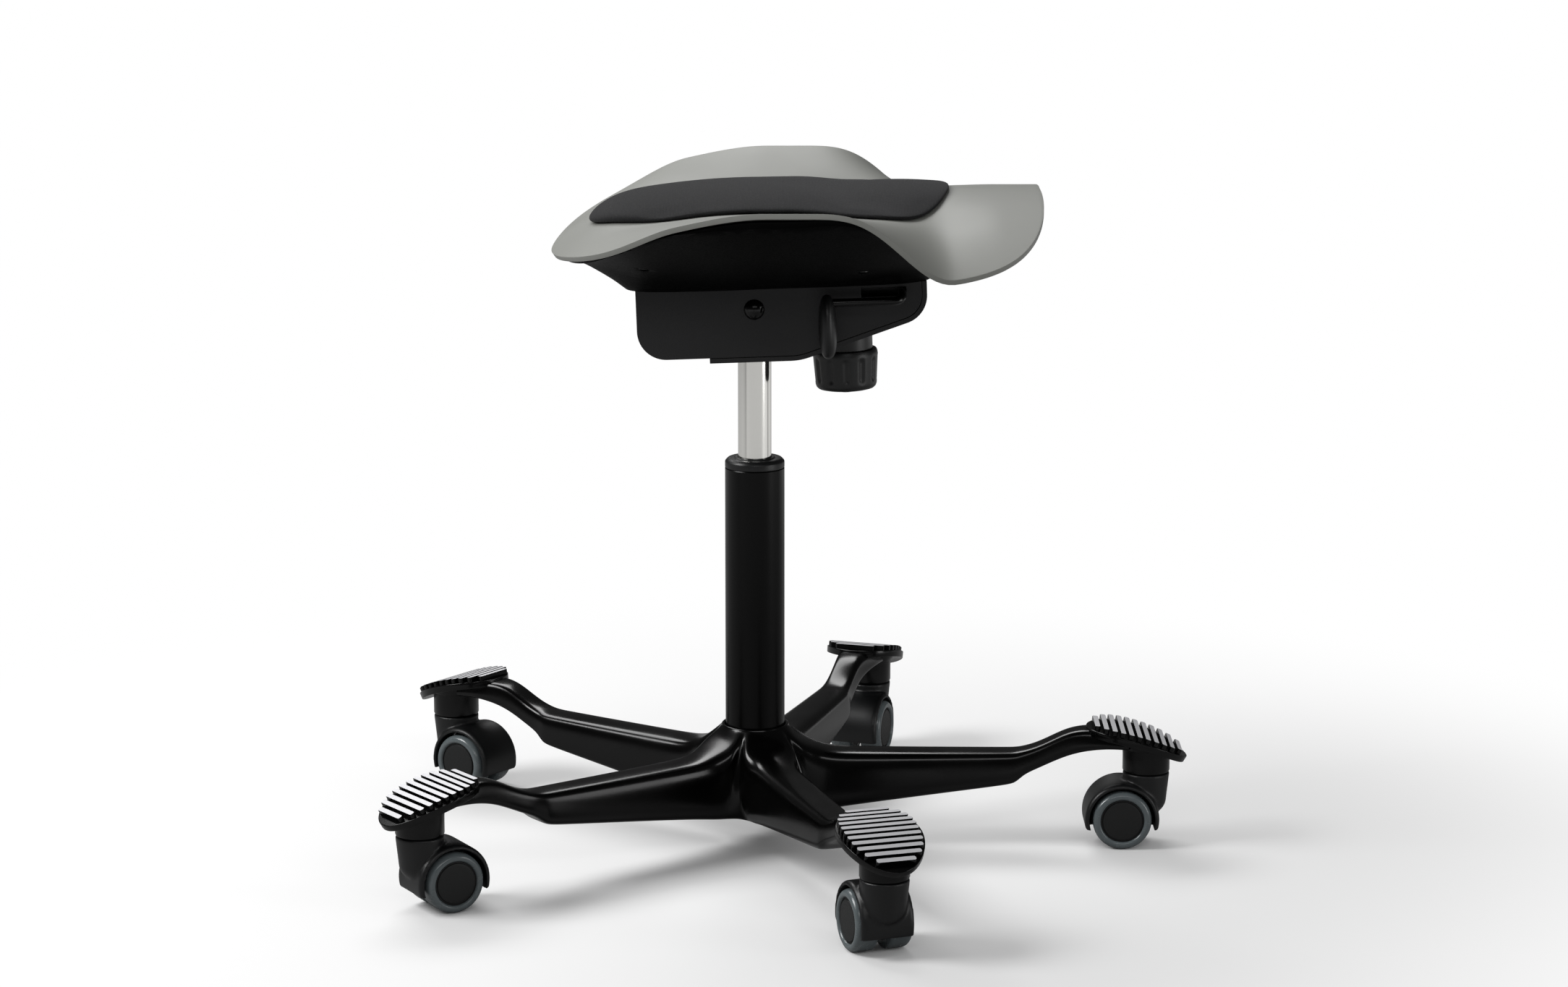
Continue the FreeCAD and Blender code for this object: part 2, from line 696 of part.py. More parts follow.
def caster_wheel(number, side, turn):
    """Wheel core with a closed outer face, and the soft tread round it."""
    name = f"{number + 1}_{side}"
    bore = size("axle_diameter") / 2 + "running_fit"
    seat = size("tread_inner_diameter") / 2
    face = size("wheel_face")
    core = turned(f"wheel_{name}", [
        (bore, size("wheel_inset")),
        (bore + 4, size("wheel_inset")),
        (bore + 4, size("wheel_inset") + 1),
        (seat, size("wheel_inset") + 1),
        (seat, face - 1.8),
        (seat - 1.2, face - 0.8),
        (0, face - 0.8),
        (0, face - 3.2),
        (bore, face - 3.2),
    ])
    tread = turned(f"tread_{name}", [
        (seat, size("wheel_inset") + 0.6),
        (axle_height, size("wheel_inset") + 0.6),
        (axle_height, face),
        (seat, face),
    ])
    outer = mm(face)
    rolling = mm(axle_height)
    rounded(tread, f"tread_{name}_shoulder", "tread_rounding",
            lambda edge: edge.Closed and edge.CenterOfMass.z > outer - 0.1
            and edge.BoundBox.XLength > 2 * rolling - 0.1)
    rounded(tread, f"tread_{name}_inner", size("tread_rounding") / 2,
            lambda edge: edge.Closed and edge.CenterOfMass.z < outer / 2
            and edge.BoundBox.XLength > 2 * rolling - 0.1)
    hub_point = Vector(mm("caster_trail"), 0, mm(axle_height))
    where = caster_place(number).multiply(Placement(hub_point, turn))
    core.Placement = where
    tread.Placement = where
    piece(core, f"caster_wheel_{name}")
    piece(tread, f"caster_tread_{name}")


for leg_number in range(LEGS):
    caster_hood(leg_number)
    caster_axle(leg_number)
    caster_wheel(leg_number, "near", Rotation(Vector(1, 0, 0), 90))
    caster_wheel(leg_number, "far", Rotation(Vector(1, 0, 0), -90))

# Tilt bracket: casting pressed on the gas lift's taper, with cheeks for the pivot pins

pivot = size("pivot_height")
cheek_outside = size("plate_outside") - "plate_sheet" - "cheek_clearance"
boss_low = lift_taper_start
boss = cylinder("bracket_boss", size("bracket_boss_diameter") / 2, lift_top - 0.5 - boss_low,
                0, 0, boss_low)
joining = box("bracket_joining", "bracket_cheek_length", cheek_outside * 2, "bracket_floor",
              -size("bracket_cheek_length") / 2, -cheek_outside, boss_low + 4)
cheeks = [
    box(f"bracket_cheek_{side}", "bracket_cheek_length", "bracket_cheek", pivot + 8 - boss_low - 4,
        -size("bracket_cheek_length") / 2, start, boss_low + 4)
    for side, start in (("near", -cheek_outside), ("far", cheek_outside - "bracket_cheek"))
]
arm_low = pivot - 5
arm = box("bracket_arm", size("knob_reach") + 13, "bracket_arm_width", "bracket_arm_thickness",
          0, -size("bracket_arm_width") / 2, arm_low)
taper_bore = doc.addObject("Part::Cone", "bracket_taper")
bind(taper_bore, Radius1=piston_radius, Radius2=piston_radius - "lift_taper")
bind(taper_bore, Height="lift_taper_length")
place(taper_bore, 0, 0, lift_taper_start)
screw_hole = cylinder("bracket_screw_hole", size("screw_diameter") / 2 + 3, 40,
                      "knob_reach", 0, arm_low - 20)
pin_hole = cylinder("bracket_pin_hole", size("pin_diameter") / 2, cheek_outside * 2,
                    0, -cheek_outside, pivot, ALONG_Y)
pin_gap = box("bracket_pin_gap", size("pin_diameter") * 2, (cheek_outside - "bracket_cheek") * 2,
              size("pin_diameter") * 2, -size("pin_diameter"),
              -(cheek_outside - "bracket_cheek"), pivot - "pin_diameter")
pin_way = cut("bracket_pin_way", pin_hole, pin_gap)
valve_room = cylinder("bracket_valve_room", piston_radius, 10, 0, 0, lift_top - 1)
bracket = cut("tilt_bracket", fuse("bracket_mass", boss, joining, arm, *cheeks),
              taper_bore, valve_room, screw_hole, pin_way)
piece(bracket, "tilt_bracket")

# Pivot pins: short shanks in the cheeks with domed heads outside the side plates


def pivot_pin_shape(side):
    radius = mm("pin_diameter") / 2
    head = mm("pin_head_diameter") / 2
    dome = mm("pin_head_height")
    start = mm(cheek_outside) - mm("bracket_cheek")
    under = mm("plate_outside") + mm("body_gap")
    shank = Part.makeCylinder(radius, under - start, Vector(0, 0, start))
    ball = (head * head + dome * dome) / (2 * dome)
    cap = Part.makeSphere(ball, Vector(0, 0, under + dome - ball))
    cap = cap.common(Part.makeCylinder(head, dome, Vector(0, 0, under)))
    pin = shank.fuse(cap)
    pin.rotate(Vector(0, 0, 0), Vector(1, 0, 0), -90 * side)
    pin.translate(Vector(0, 0, mm(pivot)))
    return pin


pins = Part.makeCompound([pivot_pin_shape(1), pivot_pin_shape(-1)])
piece(solid("pivot_pins", pins), "pivot_pins")

# Tilting carrier, drawn about the pivot axis and leant back by the rest tilt

TILT = Rotation(Vector(0, 1, 0), -mm("rest_tilt"))


def tilted(x=0, y=0, z=0, turn=Rotation()):
    """A place given about the pivot, carried into the stool's frame."""
    spot = TILT.multVec(Vector(mm(x), 0, mm(z))) + Vector(0, mm(y), mm(pivot))
    return Placement(spot, TILT.multiply(turn))


bush_outside = size("pin_diameter") / 2 + "running_fit" + "bush_wall"
plate_corners = [
    (-size("plate_rear"), size("plate_high")),
    (-size("plate_rear"), -size("plate_low")),
    ("plate_slope_start", -size("plate_low")),
    ("plate_front", -size("plate_nose_low")),
    ("plate_front", size("plate_high")),
]


def round_lower_edge(body, name):
    """Rounds the bend and the two lower corners of a side plate."""
    rounds = [
        ("bend", mm("plate_slope_start"), -mm("plate_low"), "plate_slope_rounding"),
        ("nose", mm("plate_front"), -mm("plate_nose_low"), "plate_nose_rounding"),
        ("rear", -mm("plate_rear"), -mm("plate_low"), "plate_rear_rounding"),
    ]
    for label, x, z, radius in rounds:
        rounded(body, f"{name}_{label}", radius, lambda edge: near_line(edge, x, z))


def side_plate(name, label, y, slotted):
    body = padded(name, plate_corners, "plate_sheet")
    round_lower_edge(body, name)
    hole = sketch_on(body, "XZ_Plane", f"{name}_hole_outline")
    circle = hole.addGeometry(Part.Circle(Vector(0, 0, 0), Vector(0, 0, 1), mm(bush_outside)), False)
    hole.addConstraint(Sketcher.Constraint("Coincident", circle, 3, -1, 1))
    radius = hole.addConstraint(Sketcher.Constraint("Radius", circle, mm(bush_outside)))
    hole.setExpression(f"Constraints[{radius}]", bush_outside.text)
    bore = body.newObject("PartDesign::Pocket", f"{name}_hole")
    bore.Profile = hole
    bore.SideType = "Symmetric"
    bore.Type = "ThroughAll"
    if slotted:
        end = size("slot_start") + "slot_length"
        low = size("slot_over_pivot") - size("slot_height") / 2
        high = size("slot_over_pivot") + size("slot_height") / 2
        pierced(body, f"{name}_slot", [("slot_start", low), (end, low), (end, high), ("slot_start", high)])
    body.Placement = tilted(0, y)
    return piece(body, label)


plate_middle = size("plate_outside") - size("plate_sheet") / 2
side_plate("plate_near", "side_plate_near", -plate_middle, True)
side_plate("plate_far", "side_plate_far", plate_middle, False)


def bush_shape(side):
    inner = mm("pin_diameter") / 2 + mm("running_fit")
    outer = Part.makeCylinder(mm(bush_outside), mm("plate_sheet"), Vector(0, 0, -mm("plate_sheet") / 2))
    ring = outer.cut(Part.makeCylinder(inner, mm("plate_sheet"), Vector(0, 0, -mm("plate_sheet") / 2)))
    ring.Placement = tilted(0, plate_middle * side, 0, ALONG_Y)
    return ring


bushes = Part.makeCompound([bush_shape(1), bush_shape(-1)])
piece(solid("pivot_bushes", bushes), "pivot_bushes")

# Bottom strip: bent flat bar that closes the lower edges of the side plates


def offset_corner(distance):
    """The strip's three bends, a distance outside the side plate's lower edge."""
    start = Vector(mm("plate_slope_start"), 0, -mm("plate_low"))
    nose = Vector(mm("plate_front"), 0, -mm("plate_nose_low"))
    rise = math.atan2(nose.z - start.z, nose.x - start.x)
    low = start.z - distance
    bend = start.x + distance * math.tan(rise / 2)
    front = nose.x + distance
    corner = nose.z - distance * (1 / math.cos(rise)) + distance * math.tan(rise)
    return low, bend, front, corner


def strip_path(distance):
    low, bend, front, corner = offset_corner(distance)
    rear = -mm("strip_rear")
    top = mm("plate_high")
    return [Vector(rear, 0, low), Vector(bend, 0, low), Vector(front, 0, corner), Vector(front, 0, top)]


def strip_shape():
    inner = strip_path(mm("body_gap"))
    outer = strip_path(mm("body_gap") + mm("strip_thickness"))
    outline = Part.makePolygon(inner + outer[::-1] + inner[:1])
    width = 2 * mm("plate_outside")
    bar = Part.Face(outline).extrude(Vector(0, width, 0))
    bar.translate(Vector(0, -width / 2, 0))
    rounds = [
        (inner[1], mm("plate_slope_rounding")),
        (outer[1], mm("plate_slope_rounding") + mm("strip_thickness")),
        (inner[2], mm("plate_nose_rounding")),
        (outer[2], mm("plate_nose_rounding") + mm("strip_thickness")),
    ]
    for corner, radius in rounds:
        edges = [edge for edge in bar.Edges if near_line(edge, corner.x, corner.z)]
        bar = bar.makeFillet(radius, edges)
    opening = Part.makeBox(mm("strip_opening"), mm("pressure_tube_diameter") + 6, 20)
    opening.translate(Vector(-mm("strip_opening") / 2, -mm("pressure_tube_diameter") / 2 - 3,
                             -mm("plate_low") - 15))
    screw_way = Part.makeCylinder(mm("screw_diameter") / 2 + mm("running_fit"), 80,
                                  Vector(mm("knob_reach"), 0, -60))
    return bar.cut([opening, screw_way])


strip = solid("bottom_strip", strip_shape())
strip.Placement = tilted()
piece(strip, "bottom_strip")

# Tension adjuster: collar under the strip, fluted knob, screw, nut and rubber buffer

doc.recompute()


def strip_underside_cut():
    """Everything above the strip's lower face, to trim the collar to its slope."""
    path = strip_path(mm("body_gap") + mm("strip_thickness"))
    top = Vector(path[2].x, 0, mm("plate_high") + 50)
    back = Vector(path[0].x, 0, mm("plate_high") + 50)
    outline = Part.makePolygon([path[0], path[1], path[2], top, back, path[0]])
    width = 2 * mm("plate_outside")
    block = Part.Face(outline).extrude(Vector(0, width, 0))
    block.translate(Vector(0, -width / 2, 0))
    return block


def collar_shape():
    top = -mm("knob_top") + mm("body_gap")
    axis = Vector(mm("knob_reach"), 0, top)
    post = Part.makeCylinder(mm("collar_diameter") / 2, mm("knob_top"), axis)
    bore = Part.makeCylinder(mm("screw_diameter") / 2 + mm("running_fit"), mm("knob_top"), axis)
    return post.cut([strip_underside_cut(), bore])


collar = solid("knob_collar", collar_shape())
collar.Placement = tilted()
piece(collar, "knob_collar")

knob_foot = -(size("knob_top") + "knob_height")
screw_radius = size("screw_diameter") / 2
knob = turned("tension_knob", [
    (0, knob_foot - "knob_dome"),
    (size("knob_low_diameter") / 4, knob_foot - size("knob_dome") * 0.6),
    (size("knob_low_diameter") / 2 - 6, knob_foot + 1),
    (size("knob_low_diameter") / 2 - 1, knob_foot + 5),
    (size("knob_diameter") / 2, -size("knob_top") - 4),
    (size("knob_diameter") / 2 - 0.8, -size("knob_top")),
    (screw_radius, -size("knob_top")),
    (screw_radius, knob_foot + 8),
    (0, knob_foot + 8),
])
flute_sketch = sketch_on(knob, "XY_Plane", "flute_outline")
flute_reach = size("knob_diameter") / 2 + size("flute_radius") * 0.55
flute_ring = flute_sketch.addGeometry(
    Part.Circle(Vector(mm(flute_reach), 0, 0), Vector(0, 0, 1), mm("flute_radius")), False)
flute_sketch.addConstraint(Sketcher.Constraint("PointOnObject", flute_ring, 3, -1))
held = flute_sketch.addConstraint(
    Sketcher.Constraint("DistanceX", -1, 1, flute_ring, 3, mm(flute_reach)))
flute_sketch.setExpression(f"Constraints[{held}]", flute_reach.text)
round_held = flute_sketch.addConstraint(Sketcher.Constraint("Radius", flute_ring, mm("flute_radius")))
flute_sketch.setExpression(f"Constraints[{round_held}]", "sizes.flute_radius")
flute_sketch.AttachmentOffset = Placement(Vector(0, 0, -mm("knob_top") - 6), Rotation())
flute_sketch.setExpression("AttachmentOffset.Base.z", "-sizes.knob_top - 6")
flute = knob.newObject("PartDesign::Pocket", "flute")
flute.Profile = flute_sketch
flute.Type = "Length"
bind(flute, Length=size("knob_height") - 11)
doc.recompute()
ring = knob.newObject("PartDesign::PolarPattern", "flutes")
ring.Originals = [flute]
ring.Axis = (flute_sketch, ["N_Axis"])
ring.Angle = 360
bind(ring, Occurrences="knob_flutes")
knob.Tip = ring
knob.Placement = tilted("knob_reach")
piece(knob, "tension_knob")

knob_lift = size("knob_reach") * math.sin(math.radians(mm("rest_tilt")))
arm_over_pivot = arm_low - pivot - knob_lift
nut_top = arm_over_pivot - "nut_under_arm"
screw_length = size("knob_top") + "knob_height" - 8 + arm_over_pivot + "bracket_arm_thickness" + 5
screw = cylinder("tension_screw", screw_radius, screw_length)
screw.Placement = tilted("knob_reach", 0, knob_foot + 8)
piece(screw, "tension_screw")

nut_block = box("nut_block", "nut_width", "nut_width", "nut_thickness",
                -size("nut_width") / 2, -size("nut_width") / 2, 0)
nut_bore = cylinder("nut_bore", screw_radius + "running_fit", "nut_thickness")
nut = cut("tension_nut", nut_block, nut_bore)
nut.Placement = tilted("knob_reach", 0, nut_top - "nut_thickness")
piece(nut, "tension_nut")

buffer_height = size("nut_under_arm") - 1
buffer_ring = cylinder("buffer_ring", size("nut_width") / 2, buffer_height)
buffer_bore = cylinder("buffer_bore", screw_radius + 1, buffer_height)
rubber = cut("tension_buffer", buffer_ring, buffer_bore)
rubber.Placement = tilted("knob_reach", 0, nut_top + "running_fit")
piece(rubber, "tension_buffer")

# Height lever: bent rod through the slot, oval paddle, and the slide that presses the valve


def rod_path(points, bend):
    """A wire of straight runs joined by tangent arcs of one radius."""
    edges = []
    start = points[0]
    for before, corner, after in zip(points, points[1:], points[2:]):
        inward = (before - corner).normalize()
        onward = (after - corner).normalize()
        half = inward.getAngle(onward) / 2
        reach = bend / math.tan(half)
        first = corner + inward * reach
        last = corner + onward * reach
        bisector = (inward + onward).normalize()
        middle = corner + bisector * (bend / math.sin(half) - bend)
        edges.append(Part.LineSegment(start, first).toShape())
        edges.append(Part.Arc(first, middle, last).toShape())
        start = last
    edges.append(Part.LineSegment(start, points[-1]).toShape())
    return Part.Wire(edges)


lever_reach = size("slot_start") + "slot_length" - size("lever_diameter") / 2 - 0.2
outer_run = -(size("plate_outside") + "lever_stand")
lever_low = size("slot_over_pivot") - "lever_drop"
paddle_reach = lever_reach - "lever_run"


def lever_rod_shape():
    over = mm("slot_over_pivot")
    reach = mm(lever_reach)
    outside = mm(outer_run)
    inside = -mm("slide_bar_offset") - mm("slide_bar_width") / 2
    points = [
        Vector(reach, inside, over),
        Vector(reach, -mm("plate_outside") - mm("lever_bend") - 1, over),
        Vector(reach, outside, mm(lever_low)),
        Vector(mm(paddle_reach), outside, mm(lever_low)),
    ]
    path = rod_path(points, mm("lever_bend"))
    profile = Part.Wire(Part.makeCircle(mm("lever_diameter") / 2, points[0], Vector(0, 1, 0)))
    return path.makePipeShell([profile], True, False)


lever = solid("lever_rod", lever_rod_shape())
lever.Placement = tilted()
piece(lever, "lever_rod")

paddle_body = doc.addObject("Part::Ellipsoid", "paddle_body")
bind(paddle_body, Radius1=size("paddle_height") / 2, Radius2=size("paddle_thickness") / 2)
bind(paddle_body, Radius3=size("paddle_width") / 2)
place(paddle_body, paddle_reach - 1, outer_run, lever_low - "paddle_drop")
paddle_hole = cylinder("paddle_hole", size("lever_diameter") / 2, 30, paddle_reach, outer_run,
                       lever_low, ALONG_X)
paddle = cut("lever_paddle", paddle_body, paddle_hole)
paddle.Placement = tilted()
piece(paddle, "lever_paddle")


def release_slide_shape():
    """A bar under the seat floor with a wedge that runs over the valve button."""
    offset = mm("slide_bar_offset")
    width = mm("slide_bar_width")
    top = mm("plate_high") - mm("body_gap")
    low = mm("slot_over_pivot") - mm("lever_diameter") / 2
    bar = Part.makeBox(mm(lever_reach) + 6, width, top - low, Vector(-2, -offset - width / 2, low))
    over_valve = mm(valve_top) - mm(pivot) + mm("valve_play")
    travel = mm("lever_travel")
    press = mm("valve_travel")
    thin = mm("wedge_thickness")
    start = -6
    level_end = mm("valve_diameter") / 2 - 1
    end = level_end + travel
    outline = Part.makePolygon([
        Vector(start, 0, over_valve + thin),
        Vector(start, 0, over_valve),
        Vector(level_end, 0, over_valve),
        Vector(end, 0, over_valve - press),
        Vector(end + 6, 0, over_valve - press),
        Vector(end + 6, 0, over_valve + thin),
        Vector(start, 0, over_valve + thin),
    ])
    across = offset + width / 2 + mm("valve_diameter") / 2 + 2
    wedge = Part.Face(outline).extrude(Vector(0, across, 0))
    wedge.translate(Vector(0, -offset - width / 2, 0))
    return bar.fuse(wedge).removeSplitter()


slide = solid("release_slide", release_slide_shape())
slide.Placement = tilted()
piece(slide, "release_slide")

# Seat: grey saddle shell, black under shell, screws and cushion


def shell_height(x, y):
    """The saddle: dished sides at mid length, an arched front, a tail that falls away."""
    rear = mm("seat_rear")
    tail = max(0.0, (-0.35 * rear - x) / (0.66 * rear))
    middle = mm("seat_height") + (mm("crest_height") - mm("seat_height")) * smooth(x, 20, 170)
    middle -= mm("tail_drop") * tail ** 2.2
    rise = mm("side_rise") * smooth(x, -125, 10)
    fall = (mm("side_rise") + mm("flank_fall")) * smooth(x, 40, 159) ** 2
    sink = 12 * (1 - smooth(x, -150, -60))
    power = 2.5 - 0.7 * smooth(x, 75, 155)
    channel = mm("channel_depth") * smooth(x, 30, 95) * (1 - smooth(x, 135, 200))
    middle -= channel * math.exp(-((abs(y) - 105) / 48) ** 2)
    middle -= mm("haunch_drop") * math.exp(-((x + 80) / 38) ** 2 - ((abs(y) - 95) / 42) ** 2)
    return middle + (rise - fall - sink) * (abs(y) / mm("seat_half_width")) ** power


def height_field(height, margin=14):
    """A smooth face over the whole seat whose height is given by a function."""
    rear = -mm("seat_rear") - margin
    front = mm("seat_front") + margin
    half = mm("seat_half_width") + margin
    rows = 29
    columns = 25
    grid = []
    for i in range(rows):
        x = rear + (front - rear) * i / (rows - 1)
        row = []
        for j in range(columns):
            y = -half + 2 * half * j / (columns - 1)
            row.append(Vector(x, y, height(x, y)))
        grid.append(row)
    surface = Part.BSplineSurface()
    surface.interpolate(grid)
    return surface.toShape()


def seat_outline(inset):
    """Plan of the seat: straight sides, a full tail and a squarer front."""
    rear = -mm("seat_rear") + inset
    front = mm("seat_front") - inset
    half = mm("seat_half_width") - inset
    side_rear = -0.36 * mm("seat_rear")
    side_front = 0.25 * mm("seat_front")

    def quarter(start, lean, pull, end):
        curve = Part.BezierCurve()
        curve.setPoles([Vector(*spot, 0) for spot in (start, lean, pull, end)])
        return curve.toShape()

    tail_pull = 0.36 * half
    front_pull = 0.96 * half
    edges = [
        quarter((rear, 0), (rear, tail_pull), (0.83 * rear, half), (side_rear, half)),
        Part.makeLine(Vector(side_rear, half, 0), Vector(side_front, half, 0)),
        quarter((side_front, half), (0.8 * front, 0.985 * half), (1.025 * front, front_pull), (front, 0)),
        quarter((front, 0), (1.025 * front, -front_pull), (0.8 * front, -0.985 * half), (side_front, -half)),
        Part.makeLine(Vector(side_front, -half, 0), Vector(side_rear, -half, 0)),
        quarter((side_rear, -half), (0.83 * rear, -half), (rear, -tail_pull), (rear, 0)),
    ]
    return Part.Wire(edges)


def column_over(wire):
    prism = Part.Face(wire).extrude(Vector(0, 0, mm("seat_height") * 2))
    return prism


seat_top = height_field(shell_height)
shell = seat_top.extrude(Vector(0, 0, -mm("shell_thickness"))).common(column_over(seat_outline(0)))

floor_level = mm("plate_high")
pan_middle = (mm("pan_floor_front") - mm("pan_floor_rear")) / 2
pan_half_length = (mm("pan_floor_front") + mm("pan_floor_rear")) / 2


def floor_height(x):
    """Height of the under shell's floor, which leans with the side plates."""
    lean = math.tan(math.radians(mm("rest_tilt")))
    return mm("pivot_height") + floor_level / math.cos(math.radians(mm("rest_tilt"))) + lean * x


def reach_in(direction, length, width, squareness):
    """Radius of a rounded oblong in a direction."""
    across = abs(math.cos(direction)) / length
    along = abs(math.sin(direction)) / width
    return (across ** squareness + along ** squareness) ** (-1 / squareness)


def pan_height(x, y, wall):
    """Underside of the under shell: it runs evenly from its floor up to the seat's edge."""
    dx = x - pan_middle
    direction = math.atan2(y, dx)
    ahead = mm("seat_front") - pan_middle if dx > 0 else mm("seat_rear") + pan_middle
    inner = reach_in(direction, pan_half_length, mm("pan_floor_half_width"), 5)
    outer = reach_in(direction, ahead, mm("seat_half_width"), 2.4)
    share = (math.hypot(dx, y) - inner) / (outer - inner)
    low = floor_height(x)
    high = shell_height(x, y) - mm("shell_thickness") - mm("pan_wall")
    return low + (high - low) * share + wall


def slab_above(height, level):
    """Everything over a height field, and over a floor that leans with the side plates."""
    field = height_field(height).extrude(Vector(0, 0, mm("seat_height")))
    span = mm("seat_rear") + mm("seat_front")
    block = Part.makeBox(2 * span, 2 * span, mm("seat_height"), Vector(-span, -span, level))
    block.Placement = tilted().multiply(block.Placement)
    return field.common(block)


ceiling = seat_top.copy()
ceiling.translate(Vector(0, 0, -mm("shell_thickness") - mm("seat_gap")))
under_ceiling = ceiling.extrude(Vector(0, 0, -mm("seat_height") / 2))
pan_mass = slab_above(lambda x, y: pan_height(x, y, 0), floor_level)
pan_mass = pan_mass.common(under_ceiling).common(column_over(seat_outline(mm("pan_inset"))))
pan_room = slab_above(lambda x, y: pan_height(x, y, mm("pan_wall")), floor_level + mm("pan_wall"))
pan_room = pan_room.common(column_over(seat_outline(mm("pan_inset") + 2 * mm("pan_wall"))))

screw_spots = [
    (x * mm("seat_screw_reach"), y * mm("seat_screw_offset"))
    for x in (-1, 1) for y in (-1, 1)
]
shank = mm("seat_screw_shank") / 2
head = mm("seat_screw_head") / 2
screws = []
towers = []
ways = []
blind = []
for x, y in screw_spots:
    under = pan_height(x, y, 0)
    roof = shell_height(x, y) - mm("shell_thickness")
    head_low = under + 1
    towers.append(Part.makeCylinder(head + 3, roof - under + 20, Vector(x, y, under - 10)))
    ways.append(Part.makeCylinder(head, 60, Vector(x, y, head_low + 3 - 60)))
    ways.append(Part.makeCylinder(shank, roof - head_low + 20, Vector(x, y, head_low)))
    blind.append(Part.makeCylinder(shank, roof - head_low + 3, Vector(x, y, head_low)))
    screw_head = Part.makeCylinder(head, 3, Vector(x, y, head_low))
    screws.append(screw_head.fuse(Part.makeCylinder(shank, roof - head_low + 3, Vector(x, y, head_low))))

pan = pan_mass.cut(pan_room.cut(towers)).cut(ways)
piece(solid("under_shell", pan), "under_shell")
piece(solid("saddle_shell", shell.cut(blind)), "saddle_shell")
piece(solid("seat_screws", Part.makeCompound(screws)), "seat_screws")


def pad_outline():
    """Plan of the cushion: narrow and round at the rear, wide and blunt at the front."""
    rear = -mm("pad_rear")
    front = mm("pad_front")
    narrow = mm("pad_rear_half_width")
    wide = mm("pad_front_half_width")
    right = [
        Vector(rear, 0, 0),
        Vector(0.83 * rear, 0.7 * narrow, 0),
        Vector(0.45 * rear, narrow, 0),
        Vector(0.2 * front, narrow + 0.3 * (wide - narrow), 0),
        Vector(0.7 * front, wide, 0),
        Vector(0.91 * front, 0.72 * wide, 0),
        Vector(front, 0, 0),
    ]
    left = [Vector(spot.x, -spot.y, 0) for spot in right[-2:0:-1]]
    curve = Part.BSplineCurve()
    curve.interpolate(Points=right + left, PeriodicFlag=True)
    return Part.Wire(curve.toShape())


def pad_height(x, y):
    """Top of the cushion: crowned over the dish, thin at its edge, an even lip at the front."""
    half = mm("pad_rear_half_width") + 12
    half += (mm("pad_front_half_width") - half) * smooth(x, 20, 105)
    if x < -40:
        half *= math.sqrt(max(0.02, 1 - ((-40 - x) / (mm("pad_rear") - 36)) ** 2))
    front = smooth(x, 60, 140)
    crown = mm("pad_crown") * (1 - 0.55 * smooth(x, 30, 90)) * max(0.0, 1 - (abs(y) / half) ** 2.2)
    return shell_height(x, y) + mm("pad_edge") * (1 + 1.2 * front) + crown


pad_low = seat_top.copy()
pad_low.translate(Vector(0, 0, mm("seat_gap")))
pad_reach = Vector(0, 0, 3 * mm("pad_crown"))
pad = pad_low.extrude(pad_reach).common(column_over(pad_outline()))
pad = pad.common(height_field(pad_height).extrude(-pad_reach))
piece(solid("seat_cushion", pad), "seat_cushion")

# Check every object, then write each sub-part to its file

doc.recompute()
for item in doc.Objects:
    if "Invalid" in item.State or "Error" in item.State:
        raise RuntimeError(f"{item.Label} failed: {item.State}")
os.makedirs("parts", exist_ok=True)
for item in PIECES:
    if item.Shape.isNull() or not item.Shape.isValid():
        raise RuntimeError(f"{item.Label} has no valid shape")
    if not item.Shape.Solids:
        raise RuntimeError(f"{item.Label} has no solid")
    item.Shape.exportStep(f"parts/{item.Label}.step")
    print(item.Label, len(item.Shape.Solids), round(item.Shape.Volume))
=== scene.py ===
import math
import bpy
from mathutils import Matrix, Vector


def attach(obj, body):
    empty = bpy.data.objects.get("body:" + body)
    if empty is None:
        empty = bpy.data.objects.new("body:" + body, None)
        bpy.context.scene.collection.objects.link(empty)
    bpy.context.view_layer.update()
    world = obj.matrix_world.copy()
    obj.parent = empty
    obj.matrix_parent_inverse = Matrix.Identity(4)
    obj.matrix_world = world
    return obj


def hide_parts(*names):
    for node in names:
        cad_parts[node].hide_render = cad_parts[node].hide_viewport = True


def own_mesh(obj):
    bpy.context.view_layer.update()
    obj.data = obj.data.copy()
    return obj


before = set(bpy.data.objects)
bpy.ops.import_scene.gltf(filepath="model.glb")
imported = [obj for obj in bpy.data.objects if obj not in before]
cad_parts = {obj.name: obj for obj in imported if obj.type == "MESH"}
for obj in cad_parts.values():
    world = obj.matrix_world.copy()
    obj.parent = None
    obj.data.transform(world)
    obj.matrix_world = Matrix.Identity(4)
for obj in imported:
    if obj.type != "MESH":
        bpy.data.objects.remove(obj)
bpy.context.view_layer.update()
bpy.ops.object.select_all(action="DESELECT")

# Camera, floor and studio light. The stool stands on a white sweep and is lit by large
# soft boxes from both sides and above, so the black enamel shows long soft highlights.
scene = bpy.context.scene
scene.view_settings.view_transform = "Standard"


def linear(code):
    """Linear colour of an sRGB hex code."""
    shares = [int(code[n:n + 2], 16) / 255 for n in (0, 2, 4)]
    steps = [s / 12.92 if s <= 0.04045 else ((s + 0.055) / 1.055) ** 2.4 for s in shares]
    return (*steps, 1.0)


def add_node(tree, kind, settings=None, links=None, values=None):
    """Adds a node, sets its properties and sockets, and links sockets to other nodes' outputs."""
    node = tree.nodes.new(kind)
    for name, value in (settings or {}).items():
        setattr(node, name, value)
    for name, value in (values or {}).items():
        node.inputs[name].default_value = value
    for name, source in (links or {}).items():
        tree.links.new(source, node.inputs[name])
    return node


bpy.ops.object.camera_add(location=(0.0245, -3.4969, 1.0197), rotation=(math.radians(78.435), 0, 0))
camera = bpy.context.object
camera.data.sensor_width = 36
camera.data.lens = 97.61
scene.camera = camera

